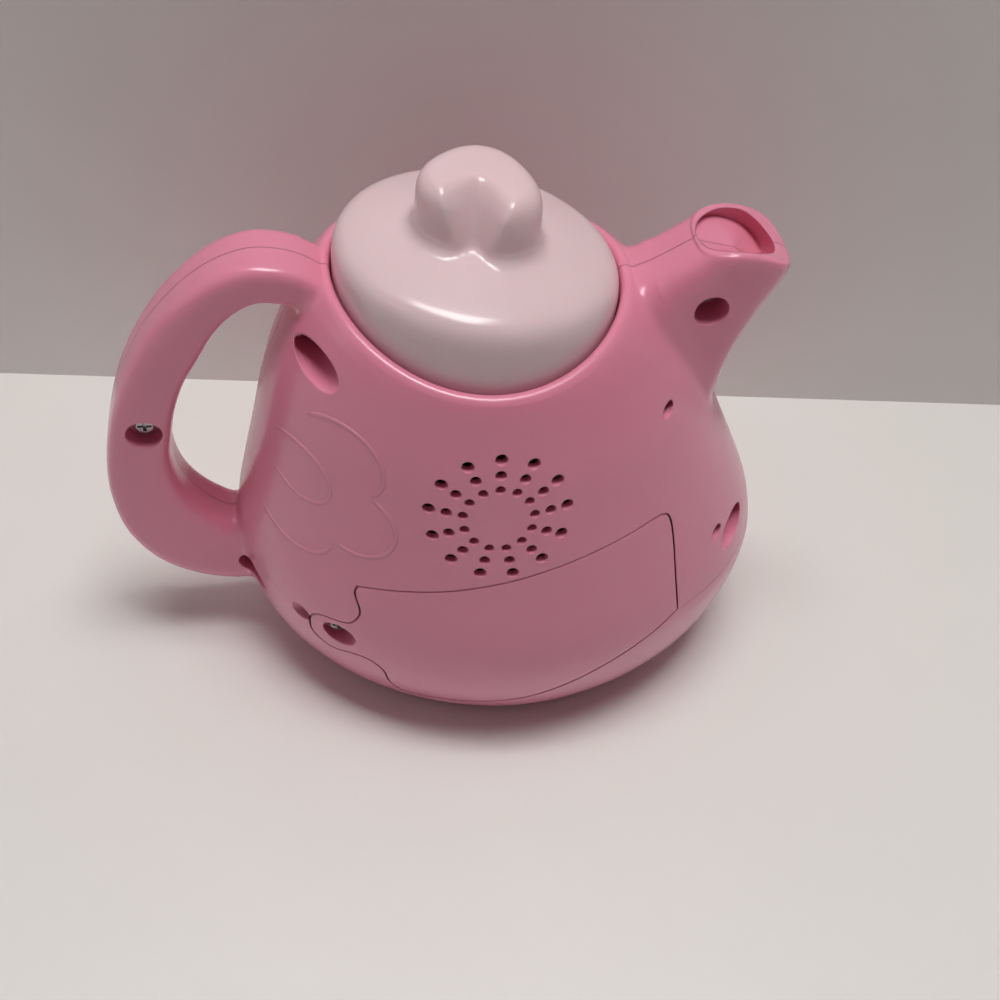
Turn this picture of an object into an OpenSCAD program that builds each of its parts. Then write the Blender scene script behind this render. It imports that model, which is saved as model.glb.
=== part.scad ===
// Toy teapot for pretend play: two moulded half shells, a press lid, a battery door, a heart button
// and what they hold. Millimetres. X runs towards the spout, -Y is the speaker's side, Z is up.
// The origin is on the table under the lid's axis.

/* [Body] */
// Height of the rim at the handle and the spout
body_h = 140; // [132:1:150]
// Width of the belly from the handle's side to the spout's side
belly_w = 160; // [154:1:170]
// Depth of the belly from front to back
belly_d = 122; // [118:1:132]
// Height of the widest part of the belly
belly_h = 42; // [38:1:46]
// Distance from the lid's axis to the belly's middle, towards the spout
belly_shift = 12.7; // [9:0.1:16]
// How much lower the rim is at the front and the back than at the sides
rim_dip = 9; // [6:0.5:11]
// How much higher the rim is at the handle than halfway round
rim_lean = 1.8; // [0:0.1:3]
// Wall of the moulded shells
wall = 2.4; // [2:0.1:2.8]

/* [Lid] */
// Diameter of the lid's skirt
lid_d = 75; // [72:0.5:77]
// Gap round the lid
lid_gap = 0.55; // [0.4:0.05:0.8]
// Height of the lid's dome above the rim
lid_rise = 15.5; // [13:0.5:20]
// Travel of the lid when it is pressed
lid_travel = 3; // [2:0.5:4]
// Width of the heart knob
knob_w = 33; // [28:1:38]
// Height of the heart knob
knob_h = 15; // [11:0.5:17]
// Turn of the lid about its axis, as it sits in the rim
lid_turn = -11; // [-20:1:20]
// Fall of the lid's dome towards the spout, per millimetre across
lid_lean = 0.12; // [0:0.01:0.15]
// Fall of the lid's dome away from the speaker, per millimetre of depth
lid_dip = 0.065; // [0:0.005:0.1]

/* [Handle] */
// Reach of the handle from the lid's axis
handle_reach = 103; // [98:1:110]
// Width of the handle across the seam
handle_w = 19; // [18:0.5:22]

/* [Spout] */
// Reach of the spout from the lid's axis
spout_reach = 85.5; // [82:0.5:90]
// Width of the spout across the seam
spout_w = 24; // [22:0.5:27]

/* [Speaker grille] */
// Height of the grille's middle above the battery box
grille_rise = 24.4; // [22:0.1:27]
// Distance of the grille's middle from the lid's axis, towards the spout
grille_x = 2; // [0:0.5:4]
// Radius of the outer ring of holes
grille_r = 18.2; // [16:0.1:19]
// Diameter of the outer holes
grille_hole_d = 3.6; // [2.4:0.1:3.8]
// Number of rays of holes
grille_rays = 13; // [9:1:15]

/* [Battery door] */
// Height of the door's highest point
door_top_h = 84; // [82:0.5:86]
// Gap round the door
door_gap = 0.5; // [0.4:0.05:0.7]

/* [Cells] */
// Diameter of one AA cell
cell_d = 14.5; // [14:0.1:14.6]
// Length of one AA cell with its nub
cell_l = 50.5; // [49:0.1:51]

/* [Speaker] */
// Diameter of the speaker
speaker_d = 40; // [36:1:42]
// Depth of the speaker
speaker_depth = 17; // [14:0.5:20]

/* [Heart button] */
// Width of the heart button on the front
button_w = 40; // [34:1:44]
// Height of the middle of the heart button
button_h = 88; // [84:1:92]
// Distance of the button's middle from the lid's axis, towards the spout
button_x = 4; // [2:0.5:6]
// Travel of the heart button
button_travel = 2; // [1:0.5:2.5]

/* [Screws] */
// Diameter of the deep screw channels
channel_d = 10; // [8.5:0.1:10.6]
// Diameter of a shell screw's head
screw_head_d = 5.8; // [5:0.1:6.2]
// Diameter of a shell screw's thread
screw_d = 2.9; // [2.5:0.1:3.1]

/* [Hidden] */

// Running overrun of cuts, and the gap between pieces that only stand beside each other
over = 1;
slack = 0.3;

shell_color = "hotpink";

// Body outline. Each row: height share of the rim height, width share and depth share from the
// rim's outside to the belly, and share of the rim's dip.
body_shares = [
    [0, 0.49, 0.23, 0],
    [0.03, 0.61, 0.4, 0],
    [0.085, 0.78, 0.66, 0],
    [0.143, 0.9, 0.84, 0],
    [0.214, 0.975, 0.95, 0],
    [0.3, 1, 1, 0],
    [0.393, 0.956, 0.944, 0.02],
    [0.5, 0.834, 0.795, 0.08],
    [0.607, 0.7, 0.646, 0.2],
    [0.714, 0.571, 0.492, 0.35],
    [0.8, 0.449, 0.374, 0.52],
    [0.871, 0.319, 0.246, 0.7],
    [0.929, 0.19, 0.123, 0.87],
    [0.968, 0.08, 0.035, 0.97],
    [0.991, 0, 0, 1]
];
// How far the plan of the belly is pinched from a true oval
plan_pinch_share = 0.13;
// Steps round each half of the body
body_steps = 24;

rim_r = lid_d / 2 + lid_gap;
rim_edge = 1.6;
rim_width = 3.4;
rim_out_r = rim_r + rim_width;
well_wall = 1.7;
well_depth = 22;
well_low_h = body_h - well_depth;
crest_drop = 0.8;

function flat_power(v, p) = sign(v) * pow(abs(v), p);
function level_half_width(i) = rim_out_r + (belly_w / 2 - rim_out_r) * body_shares[i][1];
function level_half_depth(i) = rim_out_r + (belly_d / 2 - rim_out_r) * body_shares[i][2];
function shift_at(z) = belly_shift * (1 - max(0, (z - belly_h) / (body_h - belly_h)));
// Height of the rim's line at an angle from the spout, for a share of its dip
function rim_fall(t, share) = share * (rim_dip * sin(t) * sin(t) + rim_lean * cos(t));

// A point of the outside at level i, t degrees round from the spout by the speaker's side
function skin_point(i, t) =
    let (z = body_h * body_shares[i][0])
    let (p = 2 / (2 - plan_pinch_share * body_shares[i][1]))
    [
        shift_at(z) + level_half_width(i) * flat_power(cos(t), p),
        -level_half_depth(i) * flat_power(sin(t), p),
        z - rim_fall(t, body_shares[i][3])
    ];
// Inward normal of the outside there
function skin_normal(i, t) =
    let (last = len(body_shares) - 1)
    let (along = skin_point(min(i + 1, last), t) - skin_point(max(i - 1, 0), t))
    let (around = skin_point(i, t + 1) - skin_point(i, t - 1))
    let (n = cross(along, around))
    [n.x, t == 0 || t == 180 ? 0 : n.y, n.z] / norm(n);
// A point that lies the given depth inside the outside; the lowest level stays on the table
function inset_point(i, t, depth) =
    let (q = skin_point(i, t) - depth * skin_normal(i, t))
    [q.x, t == 0 || t == 180 ? 0 : q.y, i == 0 ? 0 : q.z];
function rim_point(r, t, z) = [r * cos(t), t == 180 ? 0 : -r * sin(t), z];

// Solid through a list of closed sections that all have the same number of points. The ends are
// filled between the first half of a section and its second half, which comes back.
module swept(sections) {
    n = len(sections[0]);
    last = len(sections) - 1;
    sides = [
        for (i = [0 : last - 1]) for (j = [0 : n - 1])
            let (a = i * n + j, b = i * n + (j + 1) % n)
            each [[a, b + n, b], [a, a + n, b + n]]
    ];
    first_cap = [
        for (j = [0 : ceil(n / 2) - 2])
            each j + 1 < n - 2 - j
                ? [[j, j + 1, n - 1 - j], [j + 1, n - 2 - j, n - 1 - j]]
                : [[j, j + 1, n - 1 - j]]
    ];
    last_cap = [for (f = first_cap) [f[2], f[1], f[0]] + last * n * [1, 1, 1]];
    polyhedron([for (s = sections) each s], concat(sides, first_cap, last_cap), 6);
}

// The half body on the speaker's side: outside, rim, lid well and inside
function body_section(t) = concat(
    [for (i = [0 : len(body_shares) - 1]) skin_point(i, t)],
    [
        rim_point(rim_r + rim_edge, t, body_h - rim_fall(t, 1)),
        rim_point(rim_r, t, body_h - crest_drop - rim_fall(t, 1)),
        rim_point(rim_r, t, well_low_h),
        rim_point(rim_r + well_wall, t, well_low_h),
        rim_point(rim_r + well_wall, t, body_h - 2 * wall - rim_fall(t, 1))
    ],
    [for (i = [len(body_shares) - 2 : -1 : 0]) inset_point(i, t, wall)]
);
module half_body() {
    swept([for (k = [0 : body_steps]) body_section(180 * k / body_steps)]);
}

// Handle stations. Each row: reach share and height share of the outer edge, then of the inner
// edge, from the lid's axis and the table.
handle_shares = [
    [0.385, 1.018, 0.398, 0.936],
    [0.437, 1.038, 0.447, 0.951],
    [0.495, 1.051, 0.505, 0.966],
    [0.563, 1.054, 0.558, 0.966],
    [0.641, 1.034, 0.612, 0.941],
    [0.718, 0.993, 0.665, 0.893],
    [0.796, 0.931, 0.709, 0.831],
    [0.864, 0.854, 0.752, 0.771],
    [0.922, 0.764, 0.784, 0.704],
    [0.964, 0.664, 0.806, 0.629],
    [0.993, 0.557, 0.818, 0.554],
    [1, 0.45, 0.801, 0.471],
    [0.974, 0.338, 0.757, 0.409],
    [0.898, 0.241, 0.699, 0.366],
    [0.786, 0.184, 0.65, 0.35],
    [0.67, 0.161, 0.617, 0.352],
    [0.61, 0.155, 0.6, 0.357]
];
// Spout stations. Each row: reach share and height share of the upper edge, the same of the lower
// edge, share of the spout's width, and how far its sides bulge past the section as a share of it.
spout_shares = [
    [0.476, 0.979, 0.79, 0.657, 1.3, 0],
    [0.515, 0.989, 0.815, 0.686, 1.2, 0],
    [0.556, 1.002, 0.822, 0.743, 1.1, 0],
    [0.591, 1.016, 0.838, 0.8, 1.05, 0],
    [0.62, 1.028, 0.86, 0.857, 1.02, 0.05],
    [0.643, 1.038, 0.895, 0.914, 1, 0.1],
    [0.661, 1.045, 0.95, 0.978, 1, 0.14],
    [0.664, 1.05, 0.972, 1.012, 0.97, 0.14],
    [0.668, 1.052, 0.945, 1.026, 0.9, 0.14]
];
// Steps round each half of the handle and the spout
tube_steps = 9;

// Half of a hollow section between an upper and a lower point of the seam plane, on the speaker's
// side: the outside down, drawn in by a depth, then the inside up
function tube_section(upper, lower, half_w, power, bulge, depth) =
    let (mid = (upper + lower) / 2, half = norm(upper - lower) / 2)
    let (n = (upper - lower) / (2 * half))
    let (travel = [n.y, -n.x])
    concat(
        [
            for (k = [0 : tube_steps])
                tube_point(mid, n, travel, half - depth, half_w - depth, power, bulge, k)
        ],
        [
            for (k = [tube_steps : -1 : 0])
                tube_point(mid, n, travel, half - wall, half_w - wall, power, bulge, k)
        ]
    );
function tube_point(mid, n, travel, half, half_w, power, bulge, k) =
    let (f = 180 * k / tube_steps)
    let (q = mid + n * half * flat_power(cos(f), 2 / power) + travel * bulge * pow(sin(f), 2))
    [q.x, k == 0 || k == tube_steps ? 0 : -half_w * flat_power(sin(f), 2 / power), q.y];

handle_power = 4;
spout_power = 4;
function handle_outer(i) = [-handle_shares[i][0] * handle_reach, handle_shares[i][1] * body_h];
function handle_inner(i) = [-handle_shares[i][2] * handle_reach, handle_shares[i][3] * body_h];
function spout_upper(i) = [spout_shares[i][0] * spout_reach, spout_shares[i][1] * body_h];
function spout_lower(i) = [spout_shares[i][2] * spout_reach, spout_shares[i][3] * body_h];
function handle_section(i, depth) =
    tube_section(handle_outer(i), handle_inner(i), handle_w / 2, handle_power, 0, depth);
function spout_section(i, depth) =
    tube_section(spout_upper(i), spout_lower(i), spout_w / 2 * spout_shares[i][4], spout_power,
        spout_w * spout_shares[i][5], depth);
module half_handle() {
    swept([for (i = [len(handle_shares) - 1 : -1 : 0]) handle_section(i, 0)]);
}
module half_spout() {
    swept([for (i = [0 : len(spout_shares) - 1]) spout_section(i, 0)]);
}

// The same bodies filled, and drawn in by a depth, to trim the bosses that stand inside them
module half_body_core(depth) {
    swept([
        for (i = [0 : len(body_shares) - 2])
            [for (k = [body_steps : -1 : 0]) inset_point(i, 180 * k / body_steps, depth)]
    ]);
}
module half_handle_core(depth) {
    swept([
        for (i = [len(handle_shares) - 1 : -1 : 0])
            [for (k = [0 : tube_steps]) handle_section(i, depth)[k]]
    ]);
}
module half_spout_core(depth, first, last) {
    swept([for (i = [first : last]) [for (k = [0 : tube_steps]) spout_section(i, depth)[k]]]);
}

// Half depth of the body at a height, and its half depth at a place across
function level_table(f) = [for (i = [0 : len(body_shares) - 2]) [skin_point(i, 90).z, f(i)]];
function half_depth_at(z) = lookup(z, level_table(function(i) level_half_depth(i)));
function half_width_at(z) = lookup(z, level_table(function(i) level_half_width(i)));
function skin_y(x, z) =
    let (p = 2 - plan_pinch_share)
    half_depth_at(z) * pow(1 - pow(abs((x - shift_at(z)) / half_width_at(z)), p), 1 / p);

// Height that three cells above each other take, and the speaker's place over them
cell_play = 0.7;
cell_pitch = cell_d + cell_play;
box_wall = 1.5;
box_low_h = 24;
box_top_h = box_low_h + 3 * cell_pitch + 2 * box_wall;
grille_h = box_top_h + grille_rise;

// Slope of the wall behind the grille, and the frames that stand on it: Z inwards, Y down
slope_span = 15;
wall_slope = atan(
    (half_depth_at(grille_h - slope_span) - half_depth_at(grille_h + slope_span)) / (2 * slope_span)
);
module on_rear(x, z) {
    translate([x, -half_depth_at(z), z]) rotate([-90 - wall_slope, 0, 0]) children();
}
module on_front(x, z) {
    mirror([0, 1, 0]) on_rear(x, z) children();
}

// Cylinder along Y, at a place across and a height
module along_y(p, d, y_low, y_high) {
    translate([p.x, y_high, p.y]) rotate([90, 0, 0]) cylinder(d = d, h = y_high - y_low, $fn = 48);
}
// Solid along Y between two depths, with an outline across and up
module prism_y(points, y_low, y_high) {
    translate([0, y_high, 0]) rotate([90, 0, 0]) linear_extrude(y_high - y_low) polygon(points);
}
module ring(outer_r, inner_r, h) {
    difference() {
        cylinder(r = outer_r, h = h, $fn = 72);
        translate([0, 0, -over]) cylinder(r = inner_r, h = h + 2 * over, $fn = 72);
    }
}
module box_at(low, high) {
    translate(low) cube(high - low);
}
// Box round the frame's Z axis between two heights
module block(x, y, low_h, high_h) {
    box_at([-x / 2, -y / 2, low_h], [x / 2, y / 2, high_h]);
}
// Screw with its head's underside at z = 0, pointing down, and a cross in its head
function head_height(head_d) = 0.34 * head_d;
module screw(head_d, thread_d, length) {
    head_h = head_height(head_d);
    slot = [0.66 * head_d, 0.16 * head_d, 0.2 * head_d];
    difference() {
        cylinder(d1 = head_d, d2 = 0.8 * head_d, h = head_h, $fn = 36);
        for (a = [0, 90]) {
            rotate(a) translate([-slot.x / 2, -slot.y / 2, head_h - slot.z])
                cube([slot.x, slot.y, slot.z + over]);
        }
    }
    translate([0, 0, -length]) cylinder(d = thread_d, h = length + head_h / 2, $fn = 24);
}
// Pose of a screw that points along Y from a seat
module toward_front(p, y) {
    translate([p.x, y, p.y]) rotate([90, 0, 0]) children();
}

// Deep screw channels: place across and height, then the channel's diameter
shell_screw_places = [
    [[-0.874 * handle_reach, 0.655 * body_h], channel_d],
    [[0.72 * spout_reach, 0.94 * body_h], 0.95 * channel_d],
    [[-rim_r - well_wall - 0.42 * channel_d, 0.9 * body_h], 0.8 * channel_d],
    [[belly_shift - 0.485 * belly_w, 0.245 * body_h], 0.8 * channel_d],
    [[belly_shift + 0.41 * belly_w, 0.412 * body_h], 0.9 * channel_d]
];
screw_seat = 4;
screw_length = 11;
boss_wall = 1.6;
thread_clear = 0.3;
pilot_clear = 0.1;
pilot_d = screw_d + pilot_clear;
front_boss_d = screw_d + 2.6 * boss_wall;
pin_hole_d = 0.36 * channel_d;
pin_hole_places = [[0.31 * belly_w, 0.796 * body_h], [0.446 * belly_w, 0.45 * body_h]];
y_far = belly_d / 2 + wall;

module trimmed() {
    intersection() {
        children();
        half_body_core(wall / 2);
    }
}
module handle_trimmed() {
    intersection() {
        children();
        half_handle_core(wall / 2);
    }
}
module spout_trimmed() {
    intersection() {
        children();
        half_spout_core(wall / 2, 1, 6);
    }
}
module seam_bosses(d_add, d_fixed) {
    handle_trimmed() seam_boss(0, d_add, d_fixed);
    spout_trimmed() seam_boss(1, d_add, d_fixed);
    trimmed() for (i = [2 : 4]) seam_boss(i, d_add, d_fixed);
}
module seam_boss(i, d_add, d_fixed) {
    along_y(shell_screw_places[i][0], d_fixed > 0 ? d_fixed : shell_screw_places[i][1] + d_add, -y_far, 0);
}

// Door outline on the rear, across and up, as shares of half the belly's width and of the door's
// height: the wavy top from the left, the right end, the foot along the base cover, the screw tab
door_upper_shares = [
    [-0.438, 0.775], [-0.406, 0.792], [-0.26, 0.825], [-0.125, 0.858], [-0.01, 0.889],
    [0.115, 0.92], [0.24, 0.948], [0.365, 0.972], [0.5, 0.992], [0.585, 1], [0.635, 0.992],
    [0.664, 0.955], [0.688, 0.857], [0.712, 0.714]
];
seam_shares = [
    [0.742, 0.555], [0.625, 0.494], [0.475, 0.417], [0.3, 0.323], [0.125, 0.25], [-0.1, 0.208],
    [-0.275, 0.2]
];
door_tab_shares = [
    [-0.325, 0.27], [-0.35, 0.355], [-0.4, 0.398], [-0.462, 0.393], [-0.512, 0.369],
    [-0.566, 0.381], [-0.602, 0.424], [-0.602, 0.5], [-0.57, 0.548], [-0.52, 0.565],
    [-0.47, 0.582], [-0.44, 0.625], [-0.43, 0.67], [-0.442, 0.72]
];
function door_points(shares) = [for (q = shares) [q.x * belly_w / 2, q.y * door_top_h]];
door_outline = door_points(concat(door_upper_shares, seam_shares, door_tab_shares));
// The opening for it, which runs on below the seam
door_opening = concat(
    door_points(door_upper_shares),
    [for (q = door_points(seam_shares)) q - [0, over]],
    door_points(door_tab_shares)
);
// The outline drawn in by a gap, each point along the mean of its two edges' normals
function drawn_in(points, gap) =
    let (n = len(points))
    [
        for (i = [0 : n - 1])
            let (u = points[i] - points[(i + n - 1) % n], v = points[(i + 1) % n] - points[i])
            let (m = [u.y, -u.x] / norm(u) + [v.y, -v.x] / norm(v))
            points[i] + gap * m * 2 / (m * m)
    ];
door_screw_place = [-0.5 * belly_w / 2, 0.485 * door_top_h];
door_screw_bore = 0.9 * channel_d;
door_cup_depth = 7;
// Upright axis at the door's right end, on the outside, and the wall's turn there
hinge_x = 0.75 * belly_w / 2;
hinge_h = 0.7 * door_top_h;
hinge_y = -skin_y(hinge_x, hinge_h);
turn_step = 2;
hinge_fall = skin_y(hinge_x - turn_step, hinge_h) - skin_y(hinge_x + turn_step, hinge_h);
hinge_turn = atan(hinge_fall / (2 * turn_step));
tongue = [9, 1.6, 10];
tongue_reach = 3;
tongue_root = 3.8;
tongue_depth = wall + 2 * slack + tongue.z / 2 * tan(wall_slope);
// How far outside the wall the door's turning axis lies
hinge_out = 6.4;

// Top of the base cover all round, and the region below it
seam_gap = 0.15;
base_side_share = 0.17;
seam_line = concat(
    [[belly_w, base_side_share * belly_w + 2 * wall], [belly_w * 0.58, 0.545 * door_top_h]],
    door_points(seam_shares),
    [[-0.35 * belly_w, 0.19 * door_top_h], [-belly_w, base_side_share * door_top_h]]
);
module below_seam(gap) {
    outline = concat(
        [for (q = seam_line) q - [0, gap]],
        [[-belly_w, -over], [belly_w, -over]]
    );
    prism_y(outline, -y_far, y_far);
}

module half_shell() {
    half_body();
    half_handle();
    half_spout();
}
module rear_shell() {
    color(shell_color) difference() {
        union() {
            difference() {
                union() {
                    half_body();
                    trimmed() on_rear(grille_x, grille_h) speaker_seat();
                }
                prism_y(door_opening, -y_far, -door_cut_y);
            }
            half_handle();
            half_spout();
            seam_bosses(2 * boss_wall, 0);
            trimmed() base_posts();
            spout_floor();
        }
        shell_channels();
        on_rear(grille_x, grille_h) speaker_pilots();
        base_post_pilots();
        grille_holes();
        below_seam(0);
    }
}
door_cut_y = 12;
module shell_channels() {
    for (q = shell_screw_places) {
        along_y(q[0], q[1], -y_far, -screw_seat);
        along_y(q[0], screw_d + thread_clear, -y_far, over);
    }
    for (q = pin_hole_places) along_y(q, pin_hole_d, -y_far, -skin_y(q.x, q.y) + 2 * wall);
}
grille_row_shares = [1, 0.755, 0.52];
grille_hole_shares = [1, 0.86, 0.76];
module grille_holes() {
    for (row = [0 : len(grille_row_shares) - 1]) {
        for (ray = [0 : grille_rays - 1]) {
            a = 360 * ray / grille_rays;
            r = grille_r * grille_row_shares[row];
            q = [grille_x + r * sin(a), grille_h + r * cos(a)];
            along_y(q, grille_hole_d * grille_hole_shares[row], -y_far, -half_depth_at(q.y) + 2.4 * wall);
        }
    }
}
// Closed bottom of the hollow in the spout's mouth
module spout_floor() {
    swept([
        for (i = [4, 5])
            let (a = spout_section(4, wall / 2), b = spout_section(5, wall / 2), f = i == 4 ? 0.5 : 0.85)
            [for (k = [0 : tube_steps]) a[k] * (1 - f) + b[k] * f]
    ]);
}

// Speaker seat on the rear wall, in the frame of the wall behind the grille
speaker_r = speaker_d / 2;
speaker_seat_h = 8.5;
speaker_flange = 1.2;
clamp_t = 1.8;
clamp_reach = speaker_r + 3.6;
small_screw_l = 6;
clamp_screw_l = 4.5;
seat_rib = 1.2;
seat_ledge = 0.6;
small_screw_d = 2.2;
small_head_d = 4.4;
small_pilot_d = small_screw_d + pilot_clear;
small_boss_wall = 1.7;
small_boss_d = small_screw_d + 2 * small_boss_wall;
module speaker_seat() {
    ring(speaker_r + slack + seat_rib, speaker_r - seat_ledge, speaker_seat_h);
    ring(speaker_r + slack + seat_rib, speaker_r + slack, speaker_seat_h + speaker_flange);
    for (side = [-1, 1]) {
        translate([side * clamp_reach, 0, 0])
            cylinder(d = small_boss_d, h = speaker_seat_h + speaker_flange, $fn = 36);
    }
}
module speaker_pilots() {
    for (side = [-1, 1]) {
        translate([side * clamp_reach, 0, speaker_seat_h + speaker_flange + clamp_t - clamp_screw_l])
            cylinder(d = small_pilot_d, h = clamp_screw_l - clamp_t + over, $fn = 24);
    }
}

// Upright posts that the base cover is screwed to, with a rib to the wall
base_t = 3;
post_d = 8;
post_low_h = 20;
post_high_h = 62;
post_y = 16;
post_xs = [belly_shift - 0.3 * belly_w, belly_shift + 0.3 * belly_w];
module base_posts() {
    for (x = post_xs) {
        out = sign(x) * belly_w / 2;
        translate([x, -post_y, post_low_h]) cylinder(d = post_d, h = post_high_h - post_low_h, $fn = 36);
        box_at(
            [min(x, x + out), -post_y - wall / 2, post_high_h - 2 * post_d],
            [max(x, x + out), -post_y + wall / 2, post_high_h]
        );
    }
}
module base_post_pilots() {
    for (x = post_xs) {
        translate([x, -post_y, post_low_h - over]) cylinder(d = pilot_d, h = screw_length + over, $fn = 24);
    }
}

module front_shell() {
    color(shell_color) mirror([0, 1, 0]) difference() {
        union() {
            half_shell();
            seam_bosses(0, front_boss_d);
            trimmed() base_posts();
            trimmed() on_rear(button_x, button_h) board_posts();
            trimmed() for (x = guide_xs) along_y([x, guide_screw_h], small_boss_d, -y_far, -guide_seat_y);
            spout_floor();
        }
        for (q = shell_screw_places) along_y(q[0], pilot_d, screw_seat - thread_clear - screw_length, over);
        base_post_pilots();
        for (x = guide_xs) along_y([x, guide_screw_h], small_pilot_d, -guide_seat_y - small_screw_l, over);
        on_rear(button_x, button_h) board_post_pilots();
        on_rear(button_x, button_h) translate([0, 0, -3 * wall])
            heart_prism(bezel_scale(seam_gap), 8 * wall);
        below_seam(0);
    }
}

// Heart outline of unit width about its middle, with its tip down the frame's Y
heart_steps = 48;
function heart_unit(a) = [
    pow(sin(a), 3) / 2,
    -(13 * cos(a) - 5 * cos(2 * a) - 2 * cos(3 * a) - cos(4 * a) + 2.6) / 32
];
function heart_points(w) = [for (k = [0 : heart_steps - 1]) heart_unit(360 * k / heart_steps) * w];
module heart_prism(w, h) {
    linear_extrude(h) polygon(heart_points(w));
}
button_clear = 0.9;
bezel_rim = 5.4;
bezel_proud = 0.6;
bezel_depth = 9;
function bezel_scale(gap) = button_w + 2 * button_clear + bezel_rim + 2 * gap;

// Circuit board behind the front wall, in the frame of the wall behind the button
board_w = 62;
board_l = 56;
board_t = 1.6;
board_z = 22;
board_y = 11;
board_inset = 4;
board_post_x = board_w / 2 - board_inset;
board_post_y = board_l / 2 - board_inset;
module board_corners() {
    for (x = [-board_post_x, board_post_x]) {
        for (y = [board_y - board_post_y, board_y + board_post_y]) translate([x, y, 0]) children();
    }
}
module board_posts() {
    board_corners() cylinder(d = small_boss_d, h = board_z, $fn = 36);
}
module board_post_pilots() {
    board_corners() translate([0, 0, board_z - small_screw_l])
        cylinder(d = small_pilot_d, h = small_screw_l + over, $fn = 24);
}

// Base cover: skirt under the seam, floor, pillars for its screws, the battery box and the door screw
pillar_d = 10;
pillar_bore = screw_head_d + 2 * thread_clear;
pillar_seat = 4;
door_pillar = [10, 12, 46];
door_cup_y = -skin_y(door_screw_place.x, door_screw_place.y) + door_cup_depth;
door_pillar_y = door_cup_y + slack;
module base_cover() {
    color(shell_color) difference() {
        union() {
            intersection() {
                union() {
                    half_body();
                    mirror([0, 1, 0]) half_body();
                }
                below_seam(seam_gap);
            }
            base_floor();
            for (x = post_xs) {
                for (side = [-1, 1]) {
                    translate([x, side * post_y, base_t / 2])
                        cylinder(d = pillar_d, h = post_low_h - seam_gap - base_t / 2, $fn = 48);
                }
            }
            for (x = box_ear_xs) {
                translate([x, box_ear_y, base_t / 2])
                    cylinder(d = small_boss_d, h = box_ear_h - base_t / 2, $fn = 36);
            }
            intersection() {
                translate([door_screw_place.x - door_pillar.x / 2, door_pillar_y, 0]) cube(door_pillar);
                half_body_core(wall + slack);
            }
        }
        for (x = post_xs) {
            for (side = [-1, 1]) {
                translate([x, side * post_y, -over]) {
                    cylinder(d = pillar_bore, h = post_low_h - pillar_seat + over, $fn = 48);
                    cylinder(d = screw_d + thread_clear, h = post_low_h + over, $fn = 24);
                }
            }
        }
        for (x = box_ear_xs) {
            translate([x, box_ear_y, box_ear_h - small_screw_l])
                cylinder(d = small_pilot_d, h = small_screw_l + over, $fn = 24);
        }
        along_y(door_screw_place, pilot_d, door_pillar_y - over, door_pillar_y + door_pillar.y - boss_wall);
        translate(switch_place) {
            block(switch_well.x, switch_well.y, -over, switch_well.z);
            block(switch_slot.x, switch_slot.y, -over, base_t + over);
        }
    }
}
floor_share = 0.985;
function floor_point(t, side) =
    let (q = skin_point(0, t), r = skin_point(1, t))
    [(q.x + r.x) / 2 - shift_at(0), side * (q.y + r.y) / 2] * floor_share + [shift_at(0), 0];
module base_floor() {
    linear_extrude(base_t) polygon(concat(
        [for (k = [0 : body_steps]) floor_point(180 * k / body_steps, 1)],
        [for (k = [body_steps - 1 : -1 : 1]) floor_point(180 * k / body_steps, -1)]
    ));
}

// Battery door: skin, screw cup and the tongue behind the shell's edge
module battery_door() {
    color(shell_color) difference() {
        union() {
            intersection() {
                half_body();
                prism_y(drawn_in(door_outline, door_gap), -y_far, -door_cut_y);
            }
            trimmed() along_y(
                door_screw_place, door_screw_bore + 2 * boss_wall,
                -y_far, door_cup_y
            );
            translate([hinge_x, hinge_y, hinge_h - tongue.z / 2]) rotate(hinge_turn) {
                translate([-tongue.x, wall / 2, 0])
                    cube([tongue.x - tongue_root, tongue_depth - wall / 2 + tongue.y, tongue.z]);
                translate([-tongue.x, tongue_depth, 0])
                    cube([tongue.x + tongue_reach, tongue.y, tongue.z]);
            }
        }
        along_y(door_screw_place, door_screw_bore, -y_far, door_cup_y - boss_wall);
        along_y(door_screw_place, screw_d + thread_clear, -y_far, 0);
    }
}

module shell_screws() {
    color("silver") for (q = shell_screw_places) {
        toward_front(q[0], -screw_seat) screw(screw_head_d, screw_d, screw_length);
    }
}
module base_screws() {
    color("silver") for (x = post_xs) {
        for (side = [-1, 1]) {
            translate([x, side * post_y, post_low_h - pillar_seat]) rotate([180, 0, 0])
                screw(screw_head_d, screw_d, screw_length);
        }
    }
}
module door_screw() {
    color("silver") toward_front(door_screw_place, door_cup_y - boss_wall)
        screw(screw_head_d, screw_d, screw_length);
}

// Lid: rows of the dome's outside, share of the lid's radius and share of its rise above the rim
lid_shares = [
    [1, 0.187], [0.97, 0.316], [0.928, 0.413], [0.881, 0.477], [0.705, 0.645], [0.529, 0.813],
    [0.22, 0.968], [0.1, 1]
];
lid_r = lid_d / 2;
lid_wall = 2.2;
lid_low_h = well_low_h + lid_travel + 3 * slack;
lid_outside = concat(
    [[lid_r, lid_low_h]],
    [for (q = lid_shares) [q[0] * lid_r, body_h + q[1] * lid_rise]]
);
// A profile that starts on its way up, moved inwards by a depth
function profile_in(points, depth) =
    let (n = len(points) - 1)
    [
        for (i = [0 : n])
            let (t = points[min(i + 1, n)] - points[max(i - 1, 0)])
            let (q = points[i] + depth * [-t.y, t.x] / norm(t))
            [i == n ? points[n].x : q.x, q.y]
    ];
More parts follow.
